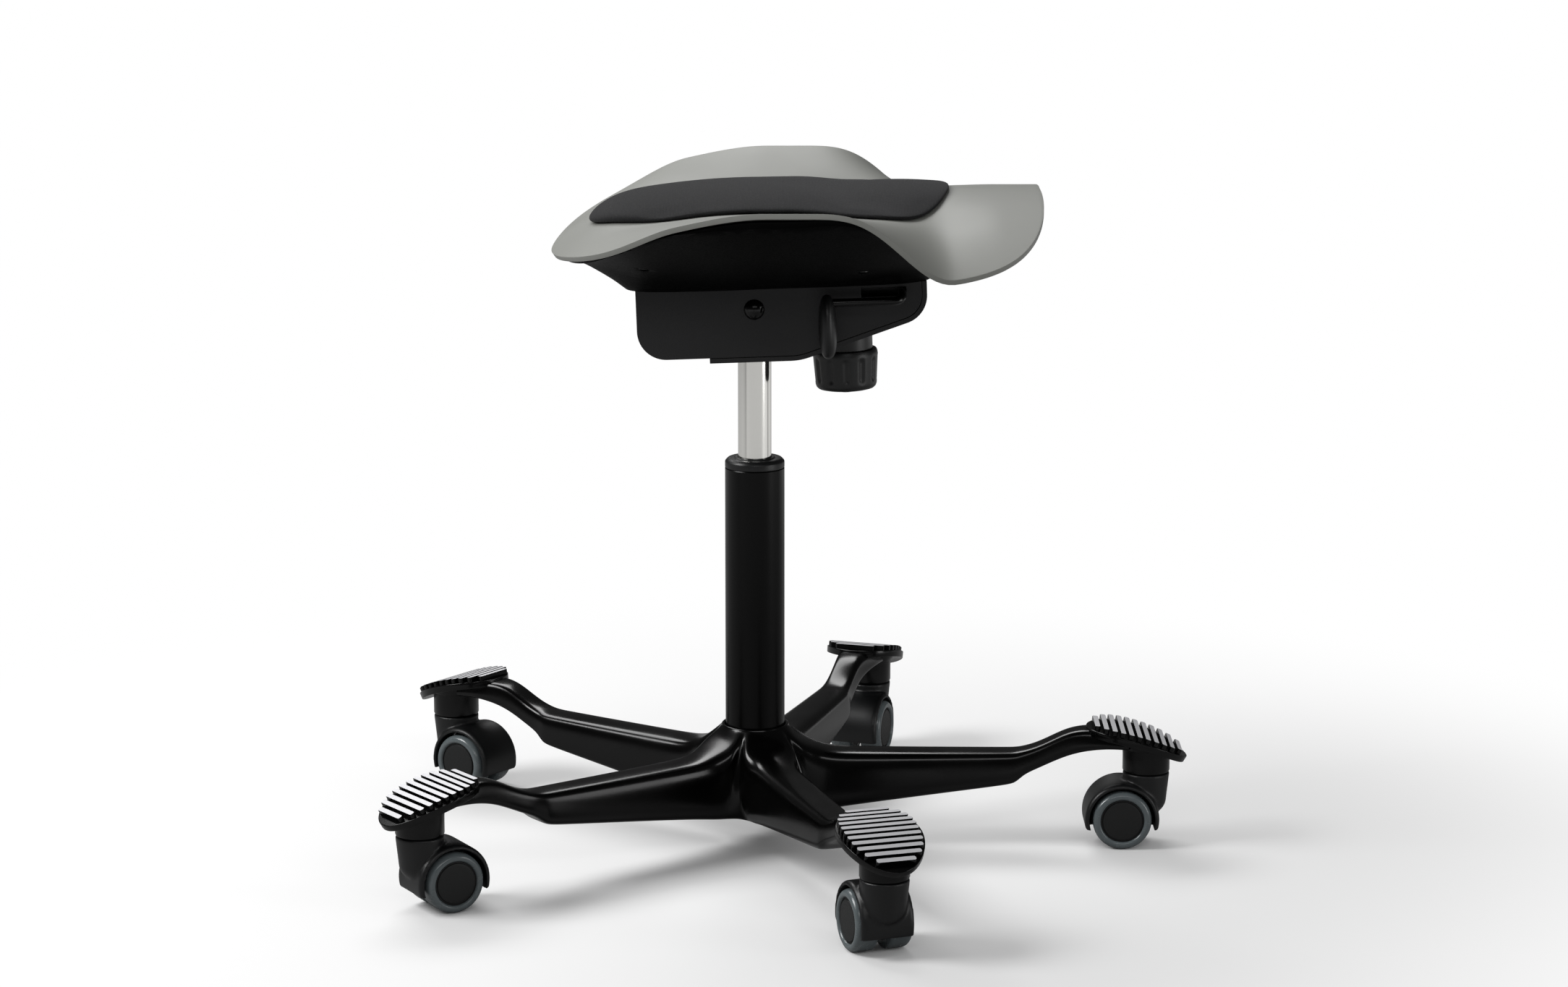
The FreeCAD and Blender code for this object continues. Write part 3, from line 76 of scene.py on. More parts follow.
bpy.ops.mesh.primitive_plane_add(size=40, location=(0, 0, 0))
floor = bpy.context.object
floor.name = "studio_floor"
floor_paint = bpy.data.materials.new("white_studio_floor")
floor_paint.use_nodes = True
tree = floor_paint.node_tree
tree.nodes.clear()
glow = add_node(tree, "ShaderNodeEmission", values={"Color": (1, 1, 1, 1), "Strength": 1.0})
ray = add_node(tree, "ShaderNodeLightPath")
# Other rays see the sweep a darker grey than the camera does, which dims the light bounced up under the seat,
# a painted shade.
tone = add_node(tree, "ShaderNodeMix", {"data_type": "RGBA"}, {"Factor": ray.outputs["Is Camera Ray"]},
                {"A": linear("9A9A9A"), "B": linear("F4F4F4")})
paint = add_node(tree, "ShaderNodeBsdfDiffuse", None, {"Color": tone.outputs["Result"]})
# Bright metal sees the sweep in broad light and grey bands, a painted reflection: for glossy rays the floor
# glows in radial bands that stand in for panels round the set.
place = add_node(tree, "ShaderNodeTexCoord")
round_set = add_node(tree, "ShaderNodeTexGradient", {"gradient_type": "RADIAL"}, {
    "Vector": place.outputs["Object"]})
painted_panels = add_node(tree, "ShaderNodeValToRGB", None, {"Fac": round_set.outputs["Fac"]})
for spot, level in ((0.05, 0.26), (0.075, 0.1), (0.1, 0.55), (0.38, 0.6), (0.42, 0.85), (0.515, 0.85),
                    (0.535, 0.08), (0.56, 0.75), (0.62, 0.7), (0.68, 0.3)):
    stop = painted_panels.color_ramp.elements.new(spot)
    stop.color = (level, level, level, 1)
painted_panels.color_ramp.elements[0].color = (0.35, 0.35, 0.35, 1)
painted_panels.color_ramp.elements[-1].color = (0.35, 0.35, 0.35, 1)
far = add_node(tree, "ShaderNodeVectorMath", {"operation": "LENGTH"}, {0: place.outputs["Object"]})
reach = add_node(tree, "ShaderNodeMapRange", {"interpolation_type": "SMOOTHSTEP"},
                 {"Value": far.outputs["Value"]},
                 {"From Min": 1.3, "From Max": 1.9, "To Min": 0.06, "To Max": 1.0})
lit = add_node(tree, "ShaderNodeMath", {"operation": "MULTIPLY"}, {
    0: painted_panels.outputs["Color"], 1: reach.outputs["Result"]})
# Only glossy rays see the painted reflection bands, fading in from about 1.3 m out.
half = add_node(tree, "ShaderNodeMath", {"operation": "MULTIPLY"}, {
    0: ray.outputs["Is Glossy Ray"], 1: lit.outputs[0]})
seen = add_node(tree, "ShaderNodeMath", {"operation": "MAXIMUM"}, {
    0: ray.outputs["Is Camera Ray"], 1: half.outputs[0]})
# Painted shadow pool: near the stool the glow fades out with distance, so the floor darkens round the base
# whatever the lamps do.
painted_shadow_pool = add_node(tree, "ShaderNodeMapRange", {"interpolation_type": "SMOOTHSTEP"},
                {"Value": far.outputs["Value"]},
                {"From Min": 0.35, "From Max": 0.98, "To Min": 0.15, "To Max": 1.0})
# Close under the wheels and the base an occlusion mask fades the glow further, a painted contact shadow;
# there the diffuse part also shows the lamps' own shadows.
painted_contact_shade = add_node(tree, "ShaderNodeAmbientOcclusion", {"samples": 12}, None, {"Distance": 0.09})
bright = add_node(tree, "ShaderNodeMath", {"operation": "MULTIPLY"}, {
    0: painted_shadow_pool.outputs["Result"], 1: painted_contact_shade.outputs["AO"]})
share = add_node(tree, "ShaderNodeMath", {"operation": "MULTIPLY"}, {
    0: seen.outputs[0], 1: bright.outputs[0]})
sweep = add_node(tree, "ShaderNodeMixShader", None, {
    0: share.outputs[0], 1: paint.outputs[0], 2: glow.outputs[0]})
add_node(tree, "ShaderNodeOutputMaterial", None, {"Surface": sweep.outputs[0]})
floor.data.materials.append(floor_paint)

world = bpy.data.worlds.new("studio_light")
scene.world = world
world.use_nodes = True
tree = world.node_tree
tree.nodes.clear()
ray = add_node(tree, "ShaderNodeLightPath")
dim = add_node(tree, "ShaderNodeMapRange", None, {"Value": ray.outputs["Is Glossy Ray"]},
               {"To Min": 0.22, "To Max": 0.05})
soft = add_node(tree, "ShaderNodeBackground", None, {"Strength": dim.outputs["Result"]},
                {"Color": (1, 1, 1, 1)})
white = add_node(tree, "ShaderNodeBackground", values={"Color": (1, 1, 1, 1), "Strength": 1.0})
mixed = add_node(tree, "ShaderNodeMixShader", None, {
    0: ray.outputs["Is Camera Ray"], 1: soft.outputs[0], 2: white.outputs[0]})
add_node(tree, "ShaderNodeOutputWorld", None, {"Surface": mixed.outputs[0]})

for name, place, aim, wide, high, power in (
    ("key_box", (-2.2, -0.5, 2.1), (0, 0, 0.35), 1.2, 1.2, 58),
    ("fill_box", (2.3, -1.0, 0.6), (0, 0, 0.42), 0.8, 1.1, 9),
    ("rear_box", (-0.8, 1.9, 2.4), (0, 0, 0.4), 2.4, 1.0, 46),
    ("strip_box", (0.5, -2.9, 2.0), (0, 0, 0.2), 2.6, 0.5, 13),
):
    bpy.ops.object.light_add(type="AREA", location=place)
    lamp = bpy.context.object
    lamp.name = name
    lamp.data.shape = "RECTANGLE"
    lamp.data.size = wide
    lamp.data.size_y = high
    lamp.data.energy = power
    lamp.rotation_euler = (Vector(aim) - Vector(place)).to_track_quat("-Z", "Y").to_euler()

# Star base: one die-cast aluminium star, sanded and coated in gloss black enamel. Five straight
# tapered beams flare into the hub and end in goosenecks that carry the oval foot plates.
LEGS = 5
CASTER_CIRCLE = 0.3324
GLOSS_BLACK = "030303"

enamel = bpy.data.materials.new("gloss_black_enamel")
enamel.use_nodes = True
tree = enamel.node_tree
tree.nodes.clear()
# Sprayed enamel: deep black, mirror-like, with a faint orange peel about 2 mm across.
place = add_node(tree, "ShaderNodeTexCoord")
peel = add_node(tree, "ShaderNodeTexNoise", None, {"Vector": place.outputs["Object"]},
                {"Scale": 450.0, "Detail": 2.0})
film = add_node(tree, "ShaderNodeTexNoise", None, {"Vector": place.outputs["Object"]},
                {"Scale": 18.0, "Detail": 4.0})
sheen = add_node(tree, "ShaderNodeMapRange", None, {"Value": film.outputs["Fac"]},
                 {"From Min": 0.3, "From Max": 0.7, "To Min": 0.15, "To Max": 0.24})
dimple = add_node(tree, "ShaderNodeBump", None, {"Height": peel.outputs["Fac"]},
                  {"Strength": 0.05, "Distance": 0.0004})
coat = add_node(tree, "ShaderNodeBsdfPrincipled", None, {
    "Roughness": sheen.outputs[0], "Normal": dimple.outputs[0]},
    {"Base Color": linear(GLOSS_BLACK), "IOR": 1.4})
add_node(tree, "ShaderNodeOutputMaterial", None, {"Surface": coat.outputs[0]})


def mesh_piece(name, points, faces, material):
    """A new piece from points and faces, with smooth faces."""
    mesh = bpy.data.meshes.new(name)
    mesh.from_pydata(points, [], faces)
    mesh.materials.append(material)
    piece = bpy.data.objects.new(name, mesh)
    scene.collection.objects.link(piece)
    bpy.ops.object.select_all(action="DESELECT")
    piece.select_set(True)
    bpy.context.view_layer.objects.active = piece
    bpy.ops.object.mode_set(mode="EDIT")
    bpy.ops.mesh.select_all(action="SELECT")
    bpy.ops.mesh.remove_doubles(threshold=0.00002)
    bpy.ops.mesh.normals_make_consistent(inside=False)
    bpy.ops.object.mode_set(mode="OBJECT")
    bpy.ops.object.shade_smooth()
    return piece


def apply_modifier(piece, name, kind, **settings):
    """Adds a modifier with its settings and applies it."""
    bpy.ops.object.select_all(action="DESELECT")
    piece.select_set(True)
    bpy.context.view_layer.objects.active = piece
    modifier = piece.modifiers.new(name, kind)
    for key, value in settings.items():
        setattr(modifier, key, value)
    bpy.ops.object.modifier_apply(modifier=name)


# A half section runs from the top of the leg round one side to its underside.
SIDE = ((0, -0.01), (0.42, 0.0), (0.74, 0.03), (0.92, 0.14), (1.0, 0.42), (1.06, 0.72), (1.05, 0.9),
        (0.9, 0.99), (0.48, 1.0), (0, 1.0))
STATIONS = (
    (52, 22.0, 32.0, 87.0), (66, 20.9, 34.4, 83.7), (84, 20.2, 37.2, 82.9), (150, 18.6, 46.0, 82.4),
    (213, 16.8, 54.0, 82.2), (221, 16.2, 55.8, 82.4), (228, 14.0, 63.0, 83.4), (240, 12.7, 68.0, 87.0),
    (254, 12.3, 74.5, 94.0), (266, 12.8, 79.5, 99.6), (280, 14.6, 83.5, 102.2), (298, 17.5, 86.0, 101.0),
    (316, 17.5, 85.0, 97.0),
)
# Polar points round the hub: collar, valley between two legs, underside.
ROOT = ((28.8, 0, 104.2), (28.8, 13, 104.2), (28.8, 25, 104.2), (29.0, 36, 103.2), (35, 36, 92.5),
        (45, 36, 74), (50, 36, 50), (50, 36, 34), (44, 18, 30.6), (42, 0, 30.6))
FLARE = ((37, 0, 94.6), (37, 11.5, 94.3), (37.5, 20, 93.2), (39.5, 24.4, 89.2), (42.5, 25.2, 78),
         (44.2, 24.8, 62), (44.8, 24.6, 42), (45, 22.0, 32.2), (46, 11, 30.8), (46, 0, 30.8))
half_leg = [[Vector((r * math.cos(math.radians(a)), r * math.sin(math.radians(a)), z)) / 1000
             for r, a, z in ROOT], [Vector(point) / 1000 for point in FLARE]]
for reach, wide, low, top in STATIONS:
    half_leg.append([Vector((reach, wide * across, top - (top - low) * down)) / 1000
                     for across, down in SIDE])
star_points = []
star_faces = []
for leg in range(LEGS):
    turn = Matrix.Rotation(2 * math.pi * leg / LEGS, 3, "Z")
    for flip in (1, -1):
        first = len(star_points)
        count = len(SIDE)
        for row in half_leg:
            star_points.extend(turn @ Vector((p.x, p.y * flip, p.z)) for p in row)
        for n in range(len(half_leg) - 1):
            for k in range(count - 1):
                a = first + n * count + k
                star_faces.append((a, a + 1, a + count + 1, a + count))
        # collar up to the tube, and the underside in to the tube
        rings = ([(28.8, a, 104.2) for a in (0, 13, 25)] + [(29.0, 36, 103.2)],
                 [(28.6, a, 105.4) for a in (0, 13, 25, 36)],
                 [(27.9, a, 106.2) for a in (0, 13, 25, 36)], [(25.1, a, 106.2) for a in (0, 13, 25, 36)],
                 [(25.1, a, 94) for a in (0, 13, 25, 36)])
        floor_rings = ([(42, 0, 30.6), (44, 18, 30.6), (50, 36, 34)],
                       [(35, 0, 30.6), (36, 18, 30.6), (38, 36, 31)],
                       [(24.2, 0, 30.6), (24.2, 18, 30.6), (24.2, 36, 30.6)])
        for band in (rings, floor_rings):
            start = len(star_points)
            wide = len(band[0])
            for ring in band:
                star_points.extend(
                    turn @ (Vector((r * math.cos(math.radians(a)), flip * r * math.sin(math.radians(a)), z))
                            / 1000) for r, a, z in ring)
            for n in range(len(band) - 1):
                for k in range(wide - 1):
                    a = start + n * wide + k
                    star_faces.append((a, a + 1, a + wide + 1, a + wide))
star = mesh_piece("star_casting", star_points, star_faces, enamel)
apply_modifier(star, "round", "SUBSURF", levels=3, render_levels=3)

# Foot plate and caster socket of one leg, then a copy on every leg. The plate is an oval cut
# from an arched band, as the casting's own, with a rolled edge.
ARCH = 0.180
ARCH_X = 0.2734
ARCH_Z = 0.1035 - ARCH
PLATE_X = 0.3240
PLATE_LENGTH = 0.043
PLATE_WIDTH = 0.034
PLATE_WALL = 0.006


def on_arch(x, y, lift):
    """A point at a place in plan, lifted off the foot plate's arch."""
    radius = ARCH + lift
    return Vector((x, y, ARCH_Z + math.sqrt(radius * radius - (x - ARCH_X) ** 2)))


bpy.ops.object.select_all(action="DESELECT")
bpy.ops.mesh.primitive_circle_add(vertices=64, radius=1, fill_type="NOTHING", location=(0, 0, 0))
plate = bpy.context.object
plate.name = "foot_plate"
bpy.ops.object.mode_set(mode="EDIT")
for scale in (0.985, 0.94, 0.8, 0.6, 0.4, 0.2):
    bpy.ops.mesh.select_all(action="DESELECT")
    bpy.ops.object.mode_set(mode="OBJECT")
    inner = min(v.co.length for v in plate.data.vertices)
    for v in plate.data.vertices:
        v.select = abs(v.co.length - inner) < 1e-4
    bpy.ops.object.mode_set(mode="EDIT")
    bpy.ops.mesh.select_mode(type="VERT")
    bpy.ops.mesh.extrude_region_move()
    bpy.ops.transform.resize(value=(scale / inner, scale / inner, 1), center_override=(0, 0, 0))
bpy.ops.mesh.edge_face_add()
bpy.ops.object.mode_set(mode="OBJECT")
for v in plate.data.vertices:
    egg = 1 - 0.06 * v.co.x
    v.co = on_arch(PLATE_X + v.co.x * PLATE_LENGTH, v.co.y * PLATE_WIDTH * egg, 0)
bpy.ops.object.mode_set(mode="EDIT")
bpy.ops.mesh.select_all(action="SELECT")
if plate.data.polygons[0].normal.z < 0:
    bpy.ops.mesh.flip_normals()
bpy.ops.object.mode_set(mode="OBJECT")
apply_modifier(plate, "wall", "SOLIDIFY", thickness=PLATE_WALL, offset=-1)
bpy.ops.object.mode_set(mode="EDIT")
bpy.ops.mesh.select_all(action="SELECT")
bpy.ops.mesh.normals_make_consistent(inside=False)
bpy.ops.object.mode_set(mode="OBJECT")
apply_modifier(plate, "roll", "BEVEL", width=0.0014, segments=3, limit_method="ANGLE",
               angle_limit=math.radians(50))
plate.data.materials.clear()
plate.data.materials.append(enamel)
bpy.ops.object.shade_smooth()


def turned_piece(name, rings, material, segments=64, closed=False):
    """Extrudes a circle ring by ring along Z, as on a lathe; rings are (radius, height) in metres."""
    bpy.ops.object.select_all(action="DESELECT")
    radius, height = rings[0]
    bpy.ops.mesh.primitive_circle_add(vertices=segments, radius=radius, location=(0, 0, height))
    piece = bpy.context.object
    piece.name = name
    bpy.ops.object.transform_apply(location=True, rotation=True, scale=True)
    bpy.ops.object.mode_set(mode="EDIT")
    bpy.ops.mesh.select_mode(type="EDGE")
    bpy.ops.mesh.select_all(action="SELECT")
    for radius_next, height_next in rings[1:]:
        bpy.ops.mesh.extrude_region_move(
            TRANSFORM_OT_translate={"value": (0, 0, height_next - height)})
        scale = radius_next / radius
        bpy.ops.transform.resize(value=(scale, scale, 1), center_override=(0, 0, height_next))
        radius, height = radius_next, height_next
    if closed:
        bpy.ops.mesh.select_all(action="DESELECT")
        bpy.ops.mesh.select_non_manifold()
        bpy.ops.mesh.bridge_edge_loops()
    else:
        bpy.ops.mesh.edge_face_add()
        bpy.ops.mesh.select_all(action="DESELECT")
        bpy.ops.mesh.select_non_manifold()
        bpy.ops.mesh.edge_face_add()
    bpy.ops.mesh.select_all(action="SELECT")
    bpy.ops.mesh.normals_make_consistent(inside=False)
    bpy.ops.object.mode_set(mode="OBJECT")
    piece.data.materials.append(material)
    bpy.ops.object.shade_smooth_by_angle(angle=math.radians(32))
    return piece


def moved_copy(source, name, matrix):
    """A copy of a piece with its own mesh, carried to its place in the mesh."""
    piece = bpy.data.objects.new(name, source.data.copy())
    piece.data.transform(matrix)
    scene.collection.objects.link(piece)
    return piece


SOCKET_SINK = 0.003
socket_top = on_arch(CASTER_CIRCLE, 0, -SOCKET_SINK).z
socket = turned_piece("caster_socket", [
    (0.0062, 0.0641), (0.0186, 0.0641), (0.0196, 0.0645), (0.0200, 0.0655), (0.0200, 0.0780),
    (0.0203, 0.0840), (0.0212, socket_top - 0.006), (0.0232, socket_top - 0.0015), (0.0232, socket_top)],
    enamel, 48)
socket.data.transform(Matrix.Translation((CASTER_CIRCLE, 0, 0)))
for v in socket.data.vertices:
    v.co.z = min(v.co.z, on_arch(v.co.x, 0, -SOCKET_SINK).z)
bpy.ops.object.select_all(action="DESELECT")
for leg in range(LEGS):
    turn = Matrix.Rotation(2 * math.pi * leg / LEGS, 4, "Z")
    moved_copy(plate, f"plate_{leg}", turn).select_set(True)
    moved_copy(socket, f"socket_{leg}", turn).select_set(True)
star.select_set(True)
bpy.context.view_layer.objects.active = star
bpy.ops.object.join()
bpy.data.objects.remove(plate)
bpy.data.objects.remove(socket)
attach(star, "base")
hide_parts("star_base")

# Foot treads: cross ridges on every foot plate. Their tops are ground bare after the coating,
# so light metal bars stand out of the black enamel between them.
bare = bpy.data.materials.new("ground_bare_aluminium")
bare.use_nodes = True
tree = bare.node_tree
tree.nodes.clear()
# Ground aluminium: pale, satin, with fine cross scratches about 0.4 mm apart.
place = add_node(tree, "ShaderNodeTexCoord")
scratch = add_node(tree, "ShaderNodeTexNoise", None, {"Vector": place.outputs["Object"]},
                   {"Scale": 900.0, "Detail": 3.0})
rough = add_node(tree, "ShaderNodeMapRange", None, {"Value": scratch.outputs["Fac"]},
                 {"From Min": 0.3, "From Max": 0.7, "To Min": 0.45, "To Max": 0.6})
metal = add_node(tree, "ShaderNodeBsdfPrincipled", None, {"Roughness": rough.outputs[0]},
                 {"Base Color": linear("D9D9DC"), "Metallic": 0.3})
add_node(tree, "ShaderNodeOutputMaterial", None, {"Surface": metal.outputs[0]})

RIDGE_WIDTH = 0.0048
RIDGE_PITCH = 0.0069
RIDGE_RISE = 0.0040
RIDGE_COUNT = 11
RIDGE_HEIGHT = 0.0052
bpy.ops.object.select_all(action="DESELECT")
bars = []
for n in range(RIDGE_COUNT):
    along = (n - (RIDGE_COUNT - 1) / 2) * RIDGE_PITCH
    inset = along / (PLATE_LENGTH - 0.0035)
    half = (PLATE_WIDTH - 0.0032) * math.sqrt(max(0.0, 1 - abs(inset) ** 2.8)) * (1 - 0.06 * inset)
    half = max(half, 0.009)
    bpy.ops.mesh.primitive_cube_add(size=1, location=(0, 0, 0))
    bar = bpy.context.object
    bar.name = f"ridge_bar_{n}"
    bar.scale = (RIDGE_WIDTH, 2 * half, RIDGE_HEIGHT)
    bpy.ops.object.transform_apply(location=False, rotation=False, scale=True)
    bpy.ops.object.mode_set(mode="EDIT")
    bpy.ops.mesh.select_mode(type="EDGE")
    bpy.ops.mesh.select_all(action="DESELECT")
    bpy.ops.object.mode_set(mode="OBJECT")
    for edge in bar.data.edges:
        ends = [bar.data.vertices[i].co for i in edge.vertices]
        edge.select = abs(ends[0].z - ends[1].z) > 0.003
    bpy.ops.object.mode_set(mode="EDIT")
    bpy.ops.mesh.bevel(offset=0.0018, segments=4, affect="EDGES")
    bpy.ops.mesh.select_mode(type="FACE")
    bpy.ops.mesh.select_all(action="DESELECT")
    bpy.ops.object.mode_set(mode="OBJECT")
    for face in bar.data.polygons:
        face.select = face.normal.z > 0.9
    bpy.ops.object.mode_set(mode="EDIT")
    bpy.ops.mesh.inset(thickness=0.00028, depth=0)
    bpy.ops.transform.translate(value=(0, 0, 0.0003))
    bpy.ops.object.mode_set(mode="OBJECT")
    bar.data.materials.append(enamel)
    bar.data.materials.append(bare)
    for face in bar.data.polygons:
        face.material_index = 1 if face.normal.z > 0.9 else 0
    slope = math.asin((PLATE_X + along - ARCH_X) / ARCH)
    foot = on_arch(PLATE_X + along, 0, RIDGE_RISE - RIDGE_HEIGHT / 2)
    bar.data.transform(Matrix.Translation(foot) @ Matrix.Rotation(slope, 4, "Y"))
    bars.append(bar)
bpy.ops.object.select_all(action="DESELECT")
for leg in range(LEGS):
    turn = Matrix.Rotation(2 * math.pi * leg / LEGS, 4, "Z")
    for n, bar in enumerate(bars):
        moved_copy(bar, f"ridge_{leg}_{n}", turn).select_set(True)
for bar in bars:
    bpy.data.objects.remove(bar)
ridges = bpy.context.selected_objects[0]
bpy.context.view_layer.objects.active = ridges
bpy.ops.object.join()
ridges.name = "foot_ridges"
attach(ridges, "base")
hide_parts("foot_treads")

# Column: a black coated steel tube pressed into the hub, with a dark moulded guide cap on top.
# The chrome pressure tube of the gas lift slides in it.
tube_coat = bpy.data.materials.new("satin_black_tube_coat")
tube_coat.use_nodes = True
tree = tube_coat.node_tree
tree.nodes.clear()
# Powder-smooth coat on a drawn tube: black, fairly glossy, faintly uneven.
place = add_node(tree, "ShaderNodeTexCoord")
cloud = add_node(tree, "ShaderNodeTexNoise", None, {"Vector": place.outputs["Object"]},
                 {"Scale": 60.0, "Detail": 3.0})
rough = add_node(tree, "ShaderNodeMapRange", None, {"Value": cloud.outputs["Fac"]},
                 {"From Min": 0.3, "From Max": 0.7, "To Min": 0.24, "To Max": 0.27})
coat = add_node(tree, "ShaderNodeBsdfPrincipled", None, {"Roughness": rough.outputs[0]},
                {"Base Color": linear("010101"), "IOR": 1.28})
add_node(tree, "ShaderNodeOutputMaterial", None, {"Surface": coat.outputs[0]})

moulded_black = bpy.data.materials.new("satin_black_moulded_plastic")
moulded_black.use_nodes = True
tree = moulded_black.node_tree
tree.nodes.clear()
# Injection-moulded nylon with a fine spark-eroded grain, drawn about 1 mm wide so that it shows.
place = add_node(tree, "ShaderNodeTexCoord")
grain = add_node(tree, "ShaderNodeTexNoise", None, {"Vector": place.outputs["Object"]},
                 {"Scale": 1100.0, "Detail": 2.0})
patch = add_node(tree, "ShaderNodeTexNoise", None, {"Vector": place.outputs["Object"]},
                 {"Scale": 25.0, "Detail": 3.0})
rough = add_node(tree, "ShaderNodeMapRange", None, {"Value": patch.outputs["Fac"]},
                 {"From Min": 0.3, "From Max": 0.7, "To Min": 0.36, "To Max": 0.46})
bump = add_node(tree, "ShaderNodeBump", None, {"Height": grain.outputs["Fac"]},
                {"Strength": 0.12, "Distance": 0.0003})
plastic = add_node(tree, "ShaderNodeBsdfPrincipled", None, {
    "Roughness": rough.outputs[0], "Normal": bump.outputs[0]}, {"Base Color": linear("0D0E0F")})
add_node(tree, "ShaderNodeOutputMaterial", None, {"Surface": plastic.outputs[0]})

chrome = bpy.data.materials.new("hard_chrome_plate")
chrome.use_nodes = True
tree = chrome.node_tree
tree.nodes.clear()
# Ground and chromed steel: a mirror with faint grinding rings along the tube.
place = add_node(tree, "ShaderNodeTexCoord")
stretch = add_node(tree, "ShaderNodeMapping", None, {"Vector": place.outputs["Object"]},
                   {"Scale": (60.0, 60.0, 2500.0)})
ring = add_node(tree, "ShaderNodeTexNoise", None, {"Vector": stretch.outputs[0]},
                {"Scale": 1.0, "Detail": 2.0})
rough = add_node(tree, "ShaderNodeMapRange", None, {"Value": ring.outputs["Fac"]},
                 {"From Min": 0.3, "From Max": 0.7, "To Min": 0.1, "To Max": 0.14})
mirror = add_node(tree, "ShaderNodeBsdfPrincipled", None, {"Roughness": rough.outputs[0]},
                  {"Base Color": linear("DDDCD8"), "Metallic": 1.0})
add_node(tree, "ShaderNodeOutputMaterial", None, {"Surface": mirror.outputs[0]})

TUBE = 0.025
TUBE_TOP = 0.327
PISTON = 0.014
tube = turned_piece("column_outer_tube", [
    (0.0225, 0.0330), (0.0238, 0.0330), (0.0250, 0.0990), (TUBE, TUBE_TOP - 0.0006),
    (TUBE - 0.0004, TUBE_TOP), (0.0231, TUBE_TOP), (0.0231, 0.0990)], tube_coat, 96, closed=True)
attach(tube, "base")
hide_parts("column_tube")

cap = turned_piece("column_guide_cap", [
    (0.01405, 0.2180), (0.0229, 0.2180), (0.0229, TUBE_TOP + 0.0001), (0.0246, TUBE_TOP + 0.0002),
    (0.0250, TUBE_TOP + 0.0007), (0.0250, TUBE_TOP + 0.0050), (0.0247, TUBE_TOP + 0.0058),
    (0.0228, TUBE_TOP + 0.0078), (0.0222, TUBE_TOP + 0.0081), (0.0172, TUBE_TOP + 0.0081),
    (0.0168, TUBE_TOP + 0.0086), (0.0158, TUBE_TOP + 0.0090), (0.0146, TUBE_TOP + 0.0088),
    (0.01405, TUBE_TOP + 0.0082)], moulded_black, 96, closed=True)
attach(cap, "base")
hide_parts("column_guide")

pressure = turned_piece("chrome_pressure_tube", [
    (0.0051, 0.1300), (0.0135, 0.1300), (PISTON, 0.1306), (PISTON, 0.4335), (0.0130, 0.4680),
    (0.0125, 0.4685), (0.0041, 0.4685), (0.0041, 0.4570), (0.0113, 0.4565), (0.0123, 0.4330),
    (0.0123, 0.1400), (0.0051, 0.1400)], chrome, 96, closed=True)
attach(pressure, "lift")
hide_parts("pressure_tube")

# Casters: a moulded hood swivels on a steel stem in each foot. Two wheels turn on one axle,
# each a moulded core with a flat cover disc and a soft grey tread moulded round it.
TRAILS = (180, 252, 323, 30, 110)
AXLE_Z = 0.025
TRAIL = 0.021

soft_tread = bpy.data.materials.new("soft_grey_tread_rubber")
soft_tread.use_nodes = True
tree = soft_tread.node_tree
tree.nodes.clear()
# Moulded polyurethane: blue grey, half gloss on the shoulder, scuffed and duller where it rolls.
place = add_node(tree, "ShaderNodeTexCoord")
scuff = add_node(tree, "ShaderNodeTexNoise", None, {"Vector": place.outputs["Object"]},
                 {"Scale": 120.0, "Detail": 5.0})
rough = add_node(tree, "ShaderNodeMapRange", None, {"Value": scuff.outputs["Fac"]},
                 {"From Min": 0.3, "From Max": 0.7, "To Min": 0.2, "To Max": 0.3})
tint = add_node(tree, "ShaderNodeMix", {"data_type": "RGBA"}, {"Factor": scuff.outputs["Fac"]},
                {"A": linear("5A6265"), "B": linear("666E70")})
rubber = add_node(tree, "ShaderNodeBsdfPrincipled", None, {
    "Roughness": rough.outputs[0], "Base Color": tint.outputs["Result"]}, {"IOR": 1.6})
add_node(tree, "ShaderNodeOutputMaterial", None, {"Surface": rubber.outputs[0]})

disc_plastic = bpy.data.materials.new("charcoal_cover_disc")
disc_plastic.use_nodes = True
tree = disc_plastic.node_tree
tree.nodes.clear()
# Moulded cover disc: charcoal, matte, with a fine grain about 1 mm wide.
place = add_node(tree, "ShaderNodeTexCoord")
grain = add_node(tree, "ShaderNodeTexNoise", None, {"Vector": place.outputs["Object"]},
                 {"Scale": 1000.0, "Detail": 2.0})
bump = add_node(tree, "ShaderNodeBump", None, {"Height": grain.outputs["Fac"]},
                {"Strength": 0.15, "Distance": 0.0003})
rough = add_node(tree, "ShaderNodeMapRange", None, {"Value": grain.outputs["Fac"]},
                 {"From Min": 0.3, "From Max": 0.7, "To Min": 0.44, "To Max": 0.56})
cover = add_node(tree, "ShaderNodeBsdfPrincipled", None, {
    "Roughness": rough.outputs[0], "Normal": bump.outputs[0]}, {"Base Color": linear("151616")})
add_node(tree, "ShaderNodeOutputMaterial", None, {"Surface": cover.outputs[0]})

steel = bpy.data.materials.new("turned_steel")
steel.use_nodes = True
tree = steel.node_tree
tree.nodes.clear()
# Bright drawn steel with fine turning marks about 0.5 mm apart.
place = add_node(tree, "ShaderNodeTexCoord")
mark = add_node(tree, "ShaderNodeTexNoise", None, {"Vector": place.outputs["Object"]},
                {"Scale": 1500.0, "Detail": 2.0})
rough = add_node(tree, "ShaderNodeMapRange", None, {"Value": mark.outputs["Fac"]},
                 {"From Min": 0.3, "From Max": 0.7, "To Min": 0.25, "To Max": 0.38})
bright = add_node(tree, "ShaderNodeBsdfPrincipled", None, {"Roughness": rough.outputs[0]},
                  {"Base Color": linear("B9B9BA"), "Metallic": 1.0})
add_node(tree, "ShaderNodeOutputMaterial", None, {"Surface": bright.outputs[0]})

